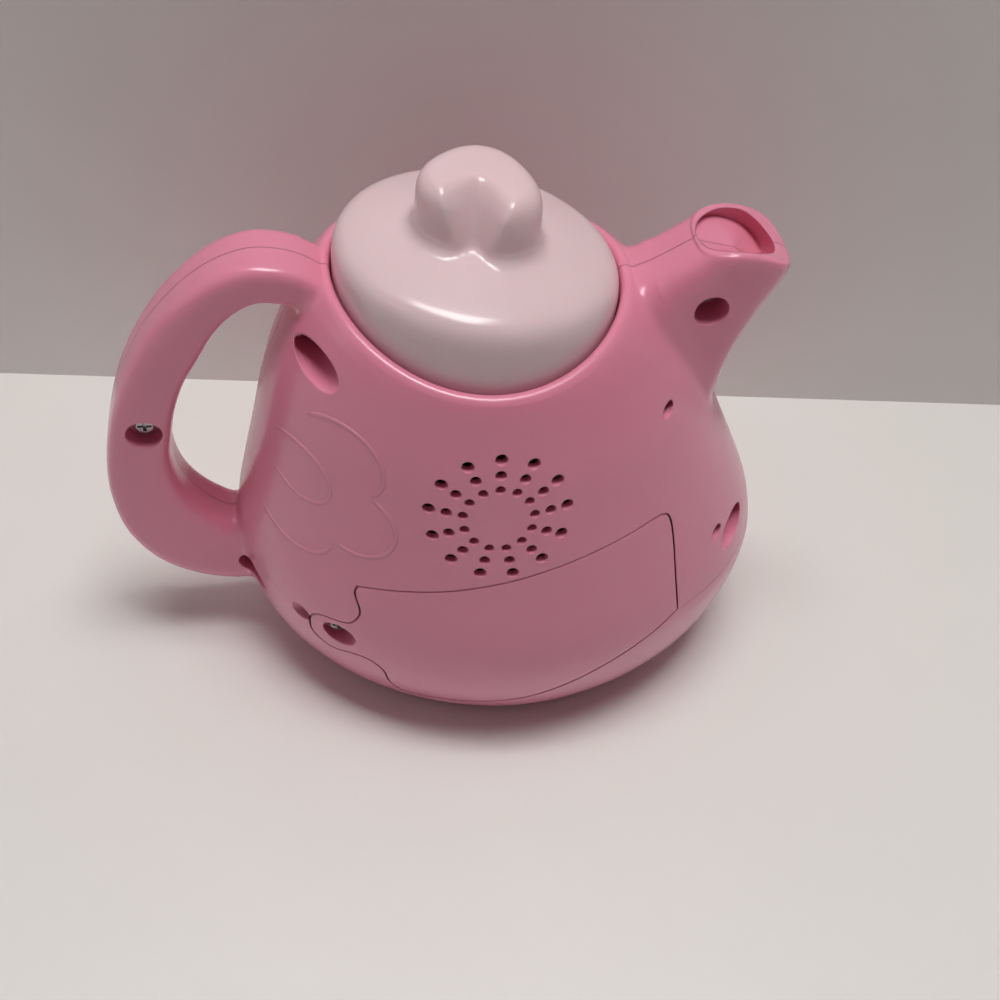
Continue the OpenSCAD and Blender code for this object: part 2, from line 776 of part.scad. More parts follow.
// Ring of the lid at a profile point, leaning with the dome
lid_steps = 96;
function lid_ring(q, share) = [
    for (k = [0 : lid_steps - 1])
        let (x = q.x * cos(360 * k / lid_steps), y = q.x * sin(360 * k / lid_steps))
        [x, y, q.y - share * (lid_lean * x + lid_dip * y)]
];
module lid_solid(points, low_h) {
    swept([
        for (i = [0 : len(points) - 1])
            i == 0 ? lid_ring([points[0].x, low_h], 0) : lid_ring(points[i], 1)
    ]);
}
lid_post_r = 3.5;
lid_tube_r = 5.25;
lid_tube_low_h = 0.64 * body_h;
lid_tube_end = 3.7;
lid_screw_seat = 2.2;
lid_post_low_h = lid_tube_low_h + lid_tube_end;
module lid() {
    color("pink") {
        difference() {
            lid_solid(lid_outside, lid_low_h);
            lid_solid(profile_in(lid_outside, lid_wall), lid_low_h - over);
        }
        translate([0, 0, body_h + lid_rise]) rotate([-atan(lid_dip), atan(lid_lean), lid_turn]) {
            for (side = [-1, 1]) knob_lobe(side);
        }
        difference() {
            translate([0, 0, lid_post_low_h])
                cylinder(r = lid_post_r, h = body_h + lid_rise - lid_wall / 2 - lid_post_low_h, $fn = 48);
            translate([0, 0, lid_post_low_h - over])
                cylinder(d = pilot_d, h = screw_length + over, $fn = 24);
        }
    }
}
// Heart knob in two rounded lobes. Rows: height share and radius share.
knob_shares = [[-0.15, 0.84], [0.2, 0.97], [0.4, 1], [0.62, 0.97], [0.82, 0.84], [0.94, 0.66], [1, 0.46]];
knob_edge = 0.02;
knob_pinch = 0.115;
knob_lobe_share = [0.235, -0.16, 0.3];
knob_tip_share = [0.385, 0.1];
module knob_lobe(side) {
    hull($fn = 32) {
        for (q = knob_shares) {
            z = (q[0] - knob_edge) * knob_h;
            translate([side * knob_lobe_share.x * knob_w, knob_lobe_share.y * knob_w, z])
                cylinder(r = (q[1] - knob_pinch) * knob_lobe_share.z * knob_w, h = knob_edge * knob_h);
            translate([0, knob_tip_share.x * knob_w, z])
                cylinder(r = q[1] * knob_tip_share.y * knob_w, h = knob_edge * knob_h);
        }
    }
}

// Carrier under the lid, with three arms that catch under the lid's well
carrier_t = 2.5;
carrier_top_h = well_low_h - slack;
carrier_low_h = carrier_top_h - carrier_t;
carrier_r = 30;
carrier_catch = 1.5;
carrier_arm = [rim_r + well_wall + carrier_catch, 10];
module lid_carrier() {
    color("white") difference() {
        union() {
            translate([0, 0, carrier_low_h]) cylinder(r = carrier_r, h = carrier_t, $fn = 96);
            for (a = [0, 90, 180]) {
                rotate(a) box_at(
                    [0, -carrier_arm.y / 2, carrier_low_h],
                    [carrier_arm.x, carrier_arm.y / 2, carrier_top_h]
                );
            }
            translate([0, 0, lid_tube_low_h])
                cylinder(r = lid_tube_r, h = carrier_low_h - lid_tube_low_h + over, $fn = 64);
        }
        translate([0, 0, lid_post_low_h]) cylinder(r = lid_post_r + pilot_clear, h = body_h, $fn = 48);
        translate([0, 0, lid_tube_low_h - over]) {
            cylinder(d = screw_head_d + 2 * thread_clear, h = lid_screw_seat + over, $fn = 48);
            cylinder(d = screw_d + thread_clear, h = lid_tube_end + 2 * over, $fn = 24);
        }
    }
}
module lid_screw() {
    color("silver") translate([0, 0, lid_tube_low_h + lid_screw_seat]) rotate([180, 0, 0])
        screw(screw_head_d, screw_d, screw_length);
}

// Guide under the lid: a bar across the body with a tube that the carrier slides in, and a shelf
guide_bar = [44, 5, 3];
guide_rise = 2.4;
guide_low_h = lid_tube_low_h + guide_rise;
guide_top_h = guide_low_h + guide_bar.z;
guide_tube_r = 8;
guide_tube_h = 16;
guide_run = 0.05;
guide_leg = [12, 14];
shelf_drop = 12;
shelf_h = guide_low_h - shelf_drop;
shelf_t = 2;
guide_xs = [-48, 48];
guide_ear = [10, 3, 11];
guide_seat_y = guide_bar.y;
guide_screw_h = guide_low_h + guide_bar.z / 2;
module lid_guide() {
    color("white") difference() {
        union() {
            box_at([-guide_bar.x, -guide_bar.y, guide_low_h], [guide_bar.x, guide_bar.y, guide_top_h]);
            translate([0, 0, guide_low_h]) cylinder(r = guide_tube_r, h = guide_tube_h, $fn = 64);
            for (x = guide_xs) {
                translate([x, guide_seat_y - guide_ear.y / 2, guide_screw_h]) cube(guide_ear, center = true);
            }
            for (side = [0, 1]) {
                mirror([side, 0, 0])
                    box_at([guide_leg[0], -guide_bar.y, shelf_h], [guide_leg[1], guide_bar.y, guide_top_h]);
            }
            box_at([-guide_leg[1], -guide_bar.y, shelf_h - shelf_t], [guide_leg[1], guide_bar.y, shelf_h]);
        }
        translate([0, 0, guide_low_h - over])
            cylinder(r = lid_tube_r + guide_run, h = guide_tube_h + 2 * over, $fn = 64);
        for (x = guide_xs) {
            along_y([x, guide_screw_h], small_screw_d + thread_clear, -guide_seat_y, guide_seat_y + over);
        }
    }
}
module guide_screws() {
    color("silver") for (x = guide_xs) {
        toward_front([x, guide_screw_h], guide_seat_y - guide_ear.y)
            screw(small_head_d, small_screw_d, small_screw_l);
    }
}

// Coil of round wire between two heights, its radius going from one value to another
coil_rings = 10;
module coil(low_r, high_r, wire, low_h, high_h, turns) {
    steps = turns * coil_rings;
    swept([
        for (k = [0 : steps])
            let (f = k / steps, a = 360 * turns * f, r = low_r + (high_r - low_r) * f)
            let (mid = [r * cos(a), r * sin(a), low_h + wire / 2 + (high_h - low_h - wire) * f])
            [
                for (b = [0 : 60 : 300])
                    mid + wire / 2 * [sin(b) * cos(a), sin(b) * sin(a), -cos(b)]
            ]
    ]);
}
lid_spring_r = 10;
lid_spring_wire = 0.9;
lid_spring_turns = 6;
module lid_spring() {
    color("silver")
        coil(lid_spring_r, lid_spring_r, lid_spring_wire, guide_top_h, carrier_low_h, lid_spring_turns);
}
switch_board = [22, 10, 1.6];
switch_plug = [4, 6, 2.5];
module lid_switch() {
    color("seagreen") {
        block(switch_board.x, switch_board.y, shelf_h, shelf_h + switch_board.z);
        translate([(switch_board.x - switch_plug.x) / 2, 0, shelf_h])
            block(switch_plug.x, switch_plug.y, switch_board.z / 2, switch_board.z + switch_plug.z);
    }
}
lid_pad_r = 4.6;
module lid_pad() {
    low_h = shelf_h + switch_board.z;
    color("dimgray") translate([0, 0, low_h])
        cylinder(r1 = lid_pad_r, r2 = 0.75 * lid_pad_r, h = lid_tube_low_h - slack - low_h, $fn = 36);
}

// Speaker, in the frame of the wall behind the grille
basket_z = speaker_seat_h + speaker_flange;
basket_end = 0.6 * speaker_depth + speaker_seat_h;
magnet_r = 0.28 * speaker_d;
cone_t = 0.5;
module speaker_frame() {
    color("lightgray") on_rear(grille_x, grille_h) rotate_extrude($fn = 96) polygon([
        [speaker_r, speaker_seat_h],
        [speaker_r, basket_z],
        [0.87 * speaker_r, basket_z],
        [0.62 * speaker_r, basket_end],
        [0, basket_end],
        [0, basket_end - speaker_flange],
        [0.56 * speaker_r, basket_end - speaker_flange],
        [0.8 * speaker_r, speaker_seat_h]
    ]);
}
module speaker_cone() {
    color("dimgray") on_rear(grille_x, grille_h) rotate_extrude($fn = 72) polygon([
        [0.77 * speaker_r, speaker_seat_h + cone_t],
        [0.34 * speaker_r, basket_end - speaker_flange - 2 * cone_t],
        [0.2 * speaker_r, basket_end - speaker_flange - 4 * cone_t],
        [0, basket_end - speaker_flange - 5 * cone_t],
        [0, basket_end - speaker_flange - 6 * cone_t],
        [0.22 * speaker_r, basket_end - speaker_flange - 5 * cone_t],
        [0.34 * speaker_r, basket_end - speaker_flange - 4 * cone_t],
        [0.75 * speaker_r, speaker_seat_h]
    ]);
}
module speaker_magnet() {
    color("silver") on_rear(grille_x, grille_h) translate([0, 0, basket_end])
        cylinder(r = magnet_r, h = speaker_seat_h + speaker_depth - basket_end, $fn = 72);
}
module speaker_clamp() {
    color("white") on_rear(grille_x, grille_h) translate([0, 0, basket_z]) difference() {
        union() {
            cylinder(r = speaker_r + slack + seat_rib, h = clamp_t, $fn = 96);
            for (side = [-1, 1]) {
                translate([side * clamp_reach, 0, 0]) cylinder(d = small_boss_d, h = clamp_t, $fn = 36);
            }
        }
        translate([0, 0, -over]) cylinder(r = 0.89 * speaker_r, h = clamp_t + 2 * over, $fn = 96);
        for (side = [-1, 1]) {
            translate([side * clamp_reach, 0, -over])
                cylinder(d = small_screw_d + thread_clear, h = clamp_t + 2 * over, $fn = 24);
        }
    }
}
module clamp_screws() {
    color("silver") on_rear(grille_x, grille_h) for (side = [-1, 1]) {
        translate([side * clamp_reach, 0, basket_z + clamp_t])
            screw(small_head_d, small_screw_d, clamp_screw_l);
    }
}

// Battery box, open at the door: three cells above each other along X
spring_room = 5;
plate_t = 0.4;
box_in = cell_l + spring_room + box_wall;
box_x = 9;
cell_depth = 24;
cell_y = cell_depth - belly_d / 2;
box_front_y = cell_y - cell_d / 2 - cell_play / 2;
box_back_y = cell_y + cell_d / 2 + cell_play / 2 + box_wall;
cradle_y = cell_y + box_wall;
box_ear = [10, 9, 3];
box_ear_reach = 19;
box_ear_rise = 3;
box_ear_xs = [box_x - box_ear_reach, box_x + box_ear_reach];
box_ear_y = box_back_y + box_ear.y / 2;
box_ear_h = box_low_h + box_ear_rise;
function cell_h(i) = box_low_h + box_wall + cell_pitch * (i + 0.5);
module battery_box() {
    color("dimgray") difference() {
        union() {
            difference() {
                box_at(
                    [box_x - box_in / 2 - box_wall, box_front_y, box_low_h],
                    [box_x + box_in / 2 + box_wall, box_back_y, box_top_h]
                );
                box_at(
                    [box_x - box_in / 2, box_front_y - over, box_low_h + box_wall],
                    [box_x + box_in / 2, cradle_y, box_top_h - box_wall]
                );
                for (i = [0 : 2]) {
                    translate([box_x - box_in / 2, cell_y, cell_h(i)]) rotate([0, 90, 0])
                        cylinder(d = cell_d + cell_play / 2, h = box_in, $fn = 64);
                }
            }
            for (x = box_ear_xs) {
                translate([x - box_ear.x / 2, box_back_y - box_wall / 2, box_ear_h])
                    cube(box_ear + [0, box_wall / 2, 0]);
            }
        }
        for (x = box_ear_xs) {
            translate([x, box_ear_y, box_ear_h - over])
                cylinder(d = small_screw_d + thread_clear, h = box_ear.z + 2 * over, $fn = 24);
        }
    }
}
module box_screws() {
    color("silver") for (x = box_ear_xs) {
        translate([x, box_ear_y, box_ear_h + box_ear.z])
            screw(small_head_d, small_screw_d, small_screw_l + box_ear.z / 2);
    }
}
nub_l = 1.2;
nub_r = 0.19 * cell_d;
// Cell i; every other one lies with its nub towards the handle
module cell(i) {
    translate([box_x, cell_y, cell_h(i)]) mirror([i % 2, 0, 0]) {
        translate([box_in / 2 - plate_t - cell_l, 0, 0]) rotate([0, 90, 0]) {
            cylinder(d = cell_d, h = cell_l - nub_l, $fn = 64);
            cylinder(r = nub_r, h = cell_l, $fn = 36);
        }
    }
}
module battery_1() {
    color("gray") cell(0);
}
module battery_2() {
    color("gray") cell(1);
}
module battery_3() {
    color("gray") cell(2);
}
// Contact plates: end of the box, first and last cell that they touch
plate_rows = [[-1, 0, 0], [-1, 1, 2], [1, 0, 1], [1, 2, 2]];
plate_half_h = 5;
module contact_plates() {
    color("silver") for (q = plate_rows) {
        x = box_x + q[0] * (box_in - plate_t) / 2;
        box_at(
            [x - plate_t / 2, cell_y - plate_half_h, cell_h(q[1]) - plate_half_h],
            [x + plate_t / 2, cradle_y - slack, cell_h(q[2]) + plate_half_h]
        );
    }
}
contact_wire = 0.6;
contact_r = 3.6;
contact_turns = 3;
contact_run = box_in - 2 * plate_t - cell_l;
module contact_springs() {
    color("silver") for (i = [0 : 2]) {
        translate([box_x, cell_y, cell_h(i)]) mirror([i % 2, 0, 0]) {
            translate([plate_t - box_in / 2, 0, 0]) rotate([0, 90, 0])
                coil(contact_r, 0.6 * contact_r, contact_wire, 0, contact_run, contact_turns);
        }
    }
}

// Heart button on the front, in the frame of the wall there
button_proud = 3.5;
button_bevel = 1.5;
button_flange = 2;
button_stem_r = 3;
button_stem_gap = 5;
button_stem_z = board_z - button_stem_gap;
button_pad_h = board_z - button_stem_z - button_travel - slack;
module button_bezel() {
    color("white") on_front(button_x, button_h) translate([0, 0, -bezel_proud]) difference() {
        heart_prism(bezel_scale(0), bezel_depth + bezel_proud);
        translate([0, 0, -over])
            heart_prism(button_w + 2 * button_clear, bezel_depth + bezel_proud + 2 * over);
    }
}
module heart_button() {
    color("deeppink") on_front(button_x, button_h) {
        translate([0, 0, button_bevel - button_proud])
            heart_prism(button_w, bezel_depth + button_proud - button_bevel + button_flange);
        mirror([0, 0, 1]) translate([0, 0, button_proud - button_bevel])
            linear_extrude(button_bevel, scale = 0.93) polygon(heart_points(button_w));
        translate([0, 0, bezel_depth + slack]) heart_prism(button_w + bezel_rim, button_flange);
        translate([0, 0, bezel_depth])
            cylinder(r = button_stem_r, h = button_stem_z - bezel_depth, $fn = 36);
    }
}
module button_pad() {
    color("dimgray") on_front(button_x, button_h) translate([0, 0, board_z - button_pad_h])
        cylinder(r1 = 0.9 * button_stem_r, r2 = 1.4 * button_stem_r, h = button_pad_h, $fn = 36);
}
module circuit_board() {
    color("seagreen") on_front(button_x, button_h) difference() {
        box_at(
            [-board_w / 2, board_y - board_l / 2, board_z],
            [board_w / 2, board_y + board_l / 2, board_z + board_t]
        );
        board_corners() translate([0, 0, board_z - over])
            cylinder(d = small_screw_d + thread_clear, h = board_t + 2 * over, $fn = 24);
    }
}
board_top_z = board_z + board_t;
chip = [14, 12, 2.4];
module sound_chip() {
    color("dimgray") on_front(button_x, button_h)
        translate([-0.2 * board_w, board_y - chip.y / 2, board_top_z]) cube(chip);
}
capacitor = [5, 9];
module capacitors() {
    color("gray") on_front(button_x, button_h) for (k = [0, 1]) {
        translate([(0.16 + 0.14 * k) * board_w, board_y - 0.3 * board_l, board_top_z])
            cylinder(d = capacitor[0], h = capacitor[1], $fn = 36);
    }
}
led_r = 2.5;
led_h = 6;
module led() {
    color("white") on_front(button_x, button_h) translate([0, -0.22 * board_l, board_z - led_h]) {
        translate([0, 0, led_r]) cylinder(r = led_r, h = led_h - led_r, $fn = 36);
        translate([0, 0, led_r]) sphere(r = led_r, $fn = 36);
    }
}
tilt_r = 3;
tilt_l = 14;
module tilt_switch() {
    color("gold") on_front(button_x, button_h)
        translate([-0.36 * board_w, board_y - tilt_l / 2, board_top_z + tilt_r]) rotate([-90, 0, 0])
        cylinder(r = tilt_r, h = tilt_l, $fn = 36);
}
module board_screws() {
    color("silver") on_front(button_x, button_h) board_corners() translate([0, 0, board_top_z])
        screw(small_head_d, small_screw_d, small_screw_l);
}

// Power switch in the base, its knob in a sunk slot
switch_place = [24, 12, 0];
switch_well = [20, 11, 1.4];
switch_travel = 4;
switch_stem = [4, 4];
switch_slot = [switch_stem.x + 2 * switch_travel + 2 * slack, switch_stem.y + 2 * slack];
switch_body = [22, 10, 6];
switch_body_slot_h = 2.4;
module power_switch() {
    color("dimgray") translate(switch_place + [0, 0, base_t]) difference() {
        block(switch_body.x, switch_body.y, 0, switch_body.z);
        block(switch_slot.x, switch_slot.y, -over, switch_body_slot_h);
    }
}
switch_knob_low = 0.4;
module switch_knob() {
    color("white") translate(switch_place) {
        block(switch_stem.x, switch_stem.y, switch_knob_low, base_t + switch_body_slot_h - slack);
    }
}

// Wire of two strands along a curve through four points
wire_d = 1.5;
wire_steps = 12;
battery_bend = [0, 22, 3];
board_bend = [0, -20, 4];
speaker_bend = [14, 16, -2];
board_side_bend = [10, -18, 0];
function curve(p, t) =
    let (u = 1 - t)
    u * u * u * p[0] + 3 * u * u * t * p[1] + 3 * u * t * t * p[2] + t * t * t * p[3];
module wire(p) {
    path = [for (k = [0 : wire_steps]) curve(p, k / wire_steps)];
    swept([
        for (k = [0 : wire_steps])
            let (t = path[min(k + 1, wire_steps)] - path[max(k - 1, 0)])
            let (side = cross(t, [1, 0, 1]), u = side / norm(side), v = cross(t, u) / norm(t))
            [for (a = [0 : 60 : 300]) path[k] + wire_d / 2 * (u * cos(a) + v * sin(a))]
    ]);
}
function on_board(x, y, z) =
    [
        button_x + x,
        half_depth_at(button_h) - z * cos(wall_slope) + y * sin(wall_slope),
        button_h - z * sin(wall_slope) - y * cos(wall_slope)
    ];
function on_speaker(x, y, z) =
    [
        grille_x + x,
        -half_depth_at(grille_h) + z * cos(wall_slope) - y * sin(wall_slope),
        grille_h - z * sin(wall_slope) - y * cos(wall_slope)
    ];
module battery_lead() {
    for (k = [0, 1]) {
        start = [box_x + 0.4 * box_in + 2 * wire_d * k, box_back_y + wire_d / 2 + slack, 0.8 * box_top_h];
        end = on_board(0.3 * board_w + 2 * wire_d * k, board_y + 0.2 * board_l, board_top_z + slack);
        color(k == 0 ? "red" : "dimgray") wire([start, start + battery_bend, end + board_bend, end]);
    }
}
module speaker_lead() {
    for (k = [0, 1]) {
        start = on_speaker(0.72 * speaker_r, -0.2 * speaker_r + 2 * wire_d * k, basket_end + wire_d / 2);
        end = on_board(0.36 * board_w, board_y - 0.05 * board_l + 2 * wire_d * k, board_top_z + slack);
        color(k == 0 ? "red" : "dimgray") wire([start, start + speaker_bend, end + board_side_bend, end]);
    }
}
rear_shell();
front_shell();
base_cover();
shell_screws();
base_screws();
battery_door();
door_screw();
lid();
lid_carrier();
lid_screw();
lid_guide();
guide_screws();
lid_spring();
lid_switch();
lid_pad();
speaker_frame();
speaker_cone();
speaker_magnet();
speaker_clamp();
clamp_screws();
battery_box();
box_screws();
battery_1();
battery_2();
battery_3();
contact_plates();
contact_springs();
button_bezel();
heart_button();
button_pad();
circuit_board();
sound_chip();
capacitors();
led();
tilt_switch();
board_screws();
power_switch();
switch_knob();
battery_lead();
speaker_lead();
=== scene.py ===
"""Toy teapot: smooth shells, door, base and lid over the CAD frame,
with materials, floor, light and camera."""
import math

import bmesh
import bpy
import numpy as np
from mathutils import Matrix, Vector
from mathutils.kdtree import KDTree


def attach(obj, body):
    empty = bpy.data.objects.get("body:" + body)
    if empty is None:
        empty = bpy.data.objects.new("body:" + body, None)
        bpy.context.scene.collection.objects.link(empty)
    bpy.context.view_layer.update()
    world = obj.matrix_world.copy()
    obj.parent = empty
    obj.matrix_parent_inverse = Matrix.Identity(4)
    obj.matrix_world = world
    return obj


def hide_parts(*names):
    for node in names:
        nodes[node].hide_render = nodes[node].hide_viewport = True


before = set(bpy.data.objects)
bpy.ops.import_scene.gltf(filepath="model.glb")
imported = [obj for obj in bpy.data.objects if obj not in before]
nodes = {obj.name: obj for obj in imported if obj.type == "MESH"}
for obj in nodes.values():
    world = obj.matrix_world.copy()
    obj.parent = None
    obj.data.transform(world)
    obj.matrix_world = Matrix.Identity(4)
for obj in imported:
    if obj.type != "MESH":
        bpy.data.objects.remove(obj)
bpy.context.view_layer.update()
MM = 0.001

# Sizes of the pot in millimetres, as in the part's source
BODY_H, BELLY_W, BELLY_D, BELLY_H = 140.0, 160.0, 122.0, 42.0
BELLY_SHIFT, RIM_DIP, RIM_LEAN, WALL = 12.7, 9.0, 1.8, 2.4
PINCH = 0.13
LID_R, LID_RISE, LID_TURN, LID_LEAN, LID_DIP = 37.5, 15.5, math.radians(-13), 0.12, 0.065
LID_GAP, RIM_T = 0.55, 3.4
RIM_R = LID_R + LID_GAP
RIM_OUT_R = RIM_R + RIM_T
WELL_WALL, WELL_DEPTH, WELL_TOP = 1.7, 22, 160
WELL_LOW = BODY_H - WELL_DEPTH
HANDLE_REACH, HANDLE_W = 103.0, 19.0
SPOUT_REACH, SPOUT_W = 85.5, 24.0
CHANNEL_D, SCREW_SEAT, BOSS_WALL, SHANK_BORE, PIN_D = 10.0, 4.0, 1.6, 7.06, 3.6
DOOR_TOP, DOOR_GAP, SEAM_GAP = 84.0, 0.5, 0.15
DOOR_BORE, DOOR_CUP_DEPTH, DOOR_CUT_Y = 9, 7, -12
FAR = 80.0

# Roundness of the tubes' sections from root to tip: 2 is an ellipse, more is squarer
TUBE_POWERS, TIP_POWERS, MOUTH_POWERS = (4.5, 4.5, 4.5), (4.2, 4.2, 2.4), (3, 3, 2.2)
MOUTH_WALL, MOUTH_TOP_WALL, MOUTH_FIRST_RING, MOUTH_LIFT = 1.9, 0.35, 53, 4
FILLET_REACH, FILLET_ROUNDS = 5.5, 40
SMOOTH_ANGLE = 32
STILL_R, STILL_RUN, STILL_H = 41.2, 3, 120
FLOOR_H, FLOOR_STEP = 3.0, 0.002
HALF_SEAM, SIDE, OVER = 0.06, 200, 400

BODY = np.array([
    [0, 0.49, 0.23, 0], [0.03, 0.61, 0.4, 0], [0.085, 0.78, 0.66, 0], [0.143, 0.9, 0.84, 0],
    [0.214, 0.975, 0.95, 0], [0.3, 1, 1, 0], [0.393, 0.956, 0.944, 0.02], [0.5, 0.834, 0.795, 0.08],
    [0.607, 0.7, 0.646, 0.2], [0.714, 0.571, 0.492, 0.35], [0.8, 0.449, 0.374, 0.52],
    [0.871, 0.319, 0.25, 0.7], [0.929, 0.2, 0.15, 0.87], [0.968, 0.095, 0.08, 0.97],
    [0.991, 0.015, 0.02, 1],
])
HANDLE = np.array([
    [0.385, 1.01, 0.398, 0.936], [0.437, 1.036, 0.447, 0.951], [0.495, 1.051, 0.505, 0.966],
    [0.563, 1.054, 0.558, 0.966], [0.641, 1.034, 0.612, 0.941], [0.718, 0.993, 0.665, 0.893],
    [0.796, 0.931, 0.709, 0.831], [0.864, 0.854, 0.752, 0.771], [0.922, 0.764, 0.784, 0.704],
    [0.964, 0.664, 0.806, 0.629], [0.993, 0.557, 0.818, 0.554], [1, 0.45, 0.801, 0.471],
    [0.974, 0.338, 0.757, 0.409], [0.898, 0.241, 0.699, 0.366], [0.786, 0.184, 0.65, 0.35],
    [0.67, 0.161, 0.617, 0.352], [0.61, 0.155, 0.6, 0.357],
])
SPOUT = np.array([
    [0.476, 0.979, 0.79, 0.657, 1.3, 0], [0.515, 0.989, 0.815, 0.686, 1.2, 0],
    [0.556, 1.002, 0.822, 0.743, 1.1, 0], [0.591, 1.016, 0.838, 0.8, 1.05, 0],
    [0.62, 1.028, 0.86, 0.857, 1.02, 0.05], [0.643, 1.038, 0.895, 0.914, 1, 0.1],
    [0.661, 1.045, 0.95, 0.978, 1, 0.14], [0.664, 1.05, 0.972, 1.012, 0.97, 0.14],
    [0.668, 1.052, 0.945, 1.026, 0.9, 0.14],
])
CHANNELS = [
    ((-0.874 * HANDLE_REACH, 0.655 * BODY_H), CHANNEL_D),
    ((0.72 * SPOUT_REACH, 0.94 * BODY_H), 0.95 * CHANNEL_D),
    ((-RIM_R - WELL_WALL - 0.42 * CHANNEL_D, 0.9 * BODY_H), 0.8 * CHANNEL_D),
    ((BELLY_SHIFT - 0.485 * BELLY_W, 0.245 * BODY_H), 0.8 * CHANNEL_D),
    ((BELLY_SHIFT + 0.41 * BELLY_W, 0.412 * BODY_H), 0.9 * CHANNEL_D),
]
SCOOP, SCOOP_D = (CHANNELS[2][0][0] + 1.6, CHANNELS[2][0][1] + 0.6), 9.8
SCOOP_BOSS_Y, SCOOP_END_Y = -4, -6
TAB_SCOOP, TAB_SCOOP_SINK, TAB_SCOOP_RADII = (-51.6, 41.2), 1.1, (5.4, 2.8, 3.2)
PIN_HOLES = [(0.31 * BELLY_W, 0.796 * BODY_H), (0.446 * BELLY_W, 0.45 * BODY_H)]
GRILLE_X, GRILLE_H, GRILLE_R, GRILLE_RAYS = 2.0, 97.0, 18.2, 13
GRILLE_ROWS = [(1, 3.3), (0.755, 2.9), (0.52, 2.6)]
DOOR_UPPER = [
    (-0.438, 0.775), (-0.406, 0.792), (-0.26, 0.825), (-0.125, 0.858), (-0.01, 0.889),
    (0.115, 0.92), (0.24, 0.948), (0.365, 0.972), (0.5, 0.992), (0.585, 1), (0.635, 0.992),
    (0.664, 0.955), (0.688, 0.857), (0.712, 0.714), (0.742, 0.555),
]
SEAM = [
    (0.742, 0.555), (0.625, 0.494), (0.475, 0.417), (0.3, 0.323), (0.125, 0.25), (-0.1, 0.208),
    (-0.275, 0.2),
]
DOOR_TAB = [
    (-0.275, 0.2), (-0.325, 0.27), (-0.35, 0.355), (-0.4, 0.398), (-0.462, 0.393), (-0.512, 0.369),
    (-0.566, 0.381), (-0.602, 0.424), (-0.602, 0.5), (-0.57, 0.548), (-0.52, 0.565),
    (-0.47, 0.582), (-0.44, 0.625), (-0.43, 0.67), (-0.442, 0.72), (-0.438, 0.775),
]
DOOR_SCREW = (-0.5 * BELLY_W / 2, 0.485 * DOOR_TOP)
BUTTON_X, BUTTON_H, BEZEL_W = 4.0, 88.0, 40 + 1.8 + 5.4
HEART_GAP, HEART_CUT_Y = 0.3, 30


def spline(rows, per):
    """Points through rows, with a smooth curve between them."""
    p = np.vstack([2 * rows[0] - rows[1], rows, 2 * rows[-1] - rows[-2]])
    out = []
    for i in range(1, len(p) - 2):
        a, b, c, d = p[i - 1], p[i], p[i + 1], p[i + 2]
        for k in range(per):
            t = k / per
            out.append(0.5 * (2 * b + (c - a) * t + (2 * a - 5 * b + 4 * c - d) * t ** 2
                              + (3 * b - a - 3 * c + d) * t ** 3))
    out.append(rows[-1])
    return np.array(out)


def flat_power(v, p):
    return np.sign(v) * np.abs(v) ** p


def rim_fall(t):
    """How far the rim drops at angles t from the spout."""
    return RIM_DIP * np.sin(t) ** 2 + RIM_LEAN * np.cos(t)


def skin_ring(row, t):
    """Ring of the body's outside for one row of shares, at angles t from the spout."""
    z = BODY_H * row[0]
    shift = BELLY_SHIFT * (1 - max(0.0, (z - BELLY_H) / (BODY_H - BELLY_H)))
    half_w = RIM_OUT_R + (BELLY_W / 2 - RIM_OUT_R) * row[1]
    half_d = RIM_OUT_R + (BELLY_D / 2 - RIM_OUT_R) * row[2]
    p = 2 / (2 - PINCH * max(row[1], 0))
    fall = row[3] * rim_fall(t)
    return np.stack([shift + half_w * flat_power(np.cos(t), p),
                     -half_d * flat_power(np.sin(t), p), z - fall], 1)


def level_at(z, column, half):
    """Half width or half depth of the body at a height."""
    zs = BODY[:-1, 0] * BODY_H - BODY[:-1, 3] * RIM_DIP
    return np.interp(z, zs, RIM_OUT_R + (half - RIM_OUT_R) * BODY[:-1, column])


def skin_y(x, z):
    """Depth of the outside at a place across and a height, on the speaker's side."""
    shift = BELLY_SHIFT * (1 - np.maximum(0, (z - BELLY_H) / (BODY_H - BELLY_H)))
    p = 2 - PINCH
    u = np.clip(np.abs((x - shift) / level_at(z, 1, BELLY_W / 2)), 0, 1)
    return -level_at(z, 2, BELLY_D / 2) * (1 - u ** p) ** (1 / p)


def new_object(name, verts, faces, index=0):
    mesh = bpy.data.meshes.new(name)
    mesh.from_pydata((np.asarray(verts, float) * MM).tolist(), [], faces)
    for _ in range(2):
        mesh.materials.append(None)
    mesh.polygons.foreach_set("material_index", [index] * len(mesh.polygons))
    obj = bpy.data.objects.new(name, mesh)
    bpy.context.collection.objects.link(obj)
    return obj


def grid_solid(name, rings, index=0):
    """Closed solid through rings of equal length that run counterclockwise about their direction."""
    n, last = len(rings[0]), len(rings) - 1
    verts = np.vstack(rings)
    faces = []
    for i in range(last):
        for j in range(n):
            a, b = i * n + j, i * n + (j + 1) % n
            faces.append((a, b, b + n, a + n))
    for end in (0, last):
        centre = len(verts)
        verts = np.vstack([verts, rings[end].mean(0)])
        for j in range(n):
            a, b = end * n + j, end * n + (j + 1) % n
            faces.append((b, a, centre) if end == 0 else (a, b, centre))
    return new_object(name, verts, faces, index)


def boolean(obj, others, operation):
    for other in others:
        mod = obj.modifiers.new("cut", "BOOLEAN")
        mod.solver, mod.operation, mod.object = "MANIFOLD", operation, other
        graph = bpy.context.evaluated_depsgraph_get()
        mesh = bpy.data.meshes.new_from_object(obj.evaluated_get(graph))
        obj.modifiers.clear()
        old, obj.data = obj.data, mesh
        bpy.data.meshes.remove(old)
    return obj


